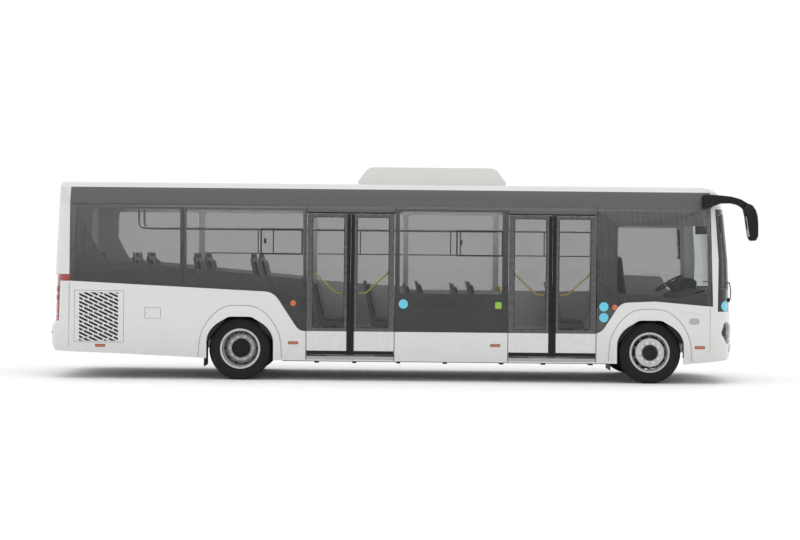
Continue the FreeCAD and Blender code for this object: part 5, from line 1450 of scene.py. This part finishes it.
def lay_cushion(name, x, y, z, lean=0.0, scale=(1, 1, 1)):
    place = Matrix.Translation((x, y, z)) @ Matrix.Rotation(lean, 4, "Y") @ Matrix.Diagonal((*scale, 1))
    place_pad(CUSHION, name, place)


ON_END = Matrix(((0, 0, 1, 0), (0, -1, 0, 0), (1, 0, 0, 0), (0, 0, 0, 1)))


def lean_back_pad(name, x, y, z, lean, scale=(1, 1, 1)):
    turn = Matrix.Rotation(-lean, 4, "Y") @ ON_END
    place_pad(BACK_PAD, name, Matrix.Translation((x, y, z)) @ turn @ Matrix.Diagonal((*scale, 1)))


for number, (x, y, top) in enumerate(SEATS, start=1):
    lay_cushion(f"seat_cushion_{number:02d}", x + 0.246, y, top + 0.0155)
    lean_back_pad(f"seat_back_pad_{number:02d}",
                  x + 0.060 - PAD_UP * math.sin(BACK_LEAN) + PAD_OUT * math.cos(BACK_LEAN), y,
                  top + PAD_UP * math.cos(BACK_LEAN) + PAD_OUT * math.sin(BACK_LEAN), BACK_LEAN)
lay_cushion("driver_cushion", 3.665, 0.650, 1.178, scale=(1.22, 1.16, 1.2))
lean_back_pad("driver_back_pad", 3.428, 0.650, 1.530, math.atan2(0.090, 0.685), scale=(1.22, 1.14, 1.5))

# %% [markdown]
# ## Saloon fittings
# Bent steel loops on the seat backs give standing passengers a hold. Long light strips run along the
# ceiling, and eight of the poles carry a stop button. Pipes are drawn as curves through a few points and
# made meshes, because a bent tube is easiest to think of as its own middle line.

# %% Seat loops
loops = bmesh.new()
for x, y, top in [seat for seat in SEATS if seat[2] == SEAT_DECK]:
    foot_x, foot_z = x - 0.098, top + 0.590
    for side in (-1, 1):
        low, high = y + side * 0.070, y + side * 0.195
        add_pipe(loops,
                 [(foot_x, low, foot_z), (foot_x - 0.012, low, foot_z + 0.075),
                  (foot_x - 0.016, (low + high) / 2, foot_z + 0.100),
                         (foot_x - 0.012, high, foot_z + 0.075), (foot_x, high, foot_z)], 0.008, 2, 4)
to_object(loops, "seat_back_loops", LOOP_GREY)

# %% [markdown]
# ## Rails and poles
# Steel tube runs along the ceiling and down to the floor, where a round foot covers its screws. The
# CAD has plain straight bars, so these bent ones take their place.

# %% Bent rails and poles, in place of the CAD's plain ones
POLE_Y, RAIL_Z, CEILING = 0.280, 2.205, 2.805
SALOON_POLES = ((-3.300, -POLE_Y, 0.700), (-3.300, POLE_Y, 0.700), (-1.640, -POLE_Y, 0.530),
                (-1.640, POLE_Y, 0.530),
                (0.090, -POLE_Y, 0.358), (1.480, -POLE_Y, 0.358), (1.480, POLE_Y, 0.358),
                (2.980, -POLE_Y, 0.358), (-1.440, -0.700, 0.358))
rails = bmesh.new()
for y, ahead in ((-POLE_Y, 2.980), (POLE_Y, 1.480)):
    add_pipe(rails, [(-3.950, y, CEILING), (-3.950, y, 2.420), (-3.950, y, RAIL_Z), (-3.740, y, RAIL_Z),
                     (ahead, y, RAIL_Z)], 0.016, 3, 10)
for x, y, base in SALOON_POLES:
    add_pipe(rails, [(x, y, base), (x, y, CEILING)], 0.016, 3, 1)
    add_pipe(rails, [(x, y, base), (x, y, base + 0.012)], 0.040, 4, 1)
rails = to_object(rails, "bent_grab_rails", RAIL_STEEL)
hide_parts("grab_rails")

# %% [markdown]
# ## Lights and stop buttons
# Opal acrylic covers a long row of lamps and spreads their light, so the cover itself glows evenly,
# with a little unevenness. A stop button is an eased block that stands on its pole.

# %% Ceiling lights and stop buttons
def light_diffuser():
    material, tree, place = start_material("opal_acrylic_diffuser")
    haze = add(tree, "TexNoise", {"Vector": place, "Scale": 6}).outputs["Fac"]
    glow = add(tree, "MapRange", {0: haze, 1: 0.3, 2: 0.7, 3: 9.0, 4: 11.0}).outputs[0]
    finish_material(tree, add(tree, "BsdfPrincipled", {"Base Color": srgb("#e8ebec"), "Roughness": 0.4,
                                                       "Emission Color": srgb("#f4f7fa"),
                                                       "Emission Strength": glow}))
    return material


OPAL = light_diffuser()
for side, word in SIDES:
    mesh = bmesh.new()
    section = [(side * 0.56, 2.804), (side * 0.57, 2.775), (side * 0.60, 2.762), (side * 0.64, 2.762),
               (side * 0.67, 2.775), (side * 0.68, 2.804)]
    add_plate(mesh, section, -4.30, 8.30, plane="yz")
    to_object(mesh, f"{word}_ceiling_light", OPAL, smooth=50)
buttons = bmesh.new()
for x, y, _ in SALOON_POLES[:8]:
    add_block(buttons, (x - 0.020, y - 0.022, 1.300), (x + 0.020, y + 0.022, 1.370), 0.009, 3)
to_object(buttons, "stop_buttons", YELLOW_COAT)

# %% [markdown]
# ## Mirrors
# Each mirror head holds silvered glass in its rear face. The left head has a main glass above and a
# wide-angle glass below.

# %% Mirror glass
for word, near_y, far_y, (back_x, level, lean), panes in (
        ("right", -1.435, -1.265, (4.9850, 2.290, 0.159), ((2.145, 2.440),)),
        ("left", 1.285, 1.465, (4.4040, 2.35, 0.0625), ((1.850, 2.030), (2.050, 2.330)))):
    for number, (low, high) in enumerate(panes, start=1):
        mesh = bmesh.new()
        add_plate(mesh, rectangle(near_y, far_y, low, high, 0.02), 0.0, -0.005, 0.0015, plane="yz")
        for vert in mesh.verts:
            vert.co.x += back_x + (level - vert.co.z) * lean
        to_object(mesh, f"{word}_mirror_glass_{number}", MIRROR_SILVER)

# %% [markdown]
# ## Studio floor
# The floor is a wide disc in matt white paint. It is staging, and not a part of the bus.

# %% Floor
def studio_floor():
    material, tree, place = start_material("painted_studio_floor")
    spots = mottled(tree, place, 2600, 0.0, 0.5)
    colour = add(tree, "Mix", {0: spots, 6: srgb("#fcfcfc"), 7: srgb("#fafafa")},
                 data_type="RGBA").outputs[2]
    finish_material(tree, add(tree, "BsdfPrincipled", {"Base Color": colour, "Roughness": 0.9}))
    return material


floor_mesh = bmesh.new()
bmesh.ops.create_circle(floor_mesh, cap_ends=True, segments=96, radius=150)
floor_data = bpy.data.meshes.new("studio_floor")
floor_mesh.to_mesh(floor_data)
floor_mesh.free()
floor = bpy.data.objects.new("studio_floor", floor_data)
floor_data.materials.append(studio_floor())
bpy.context.scene.collection.objects.link(floor)
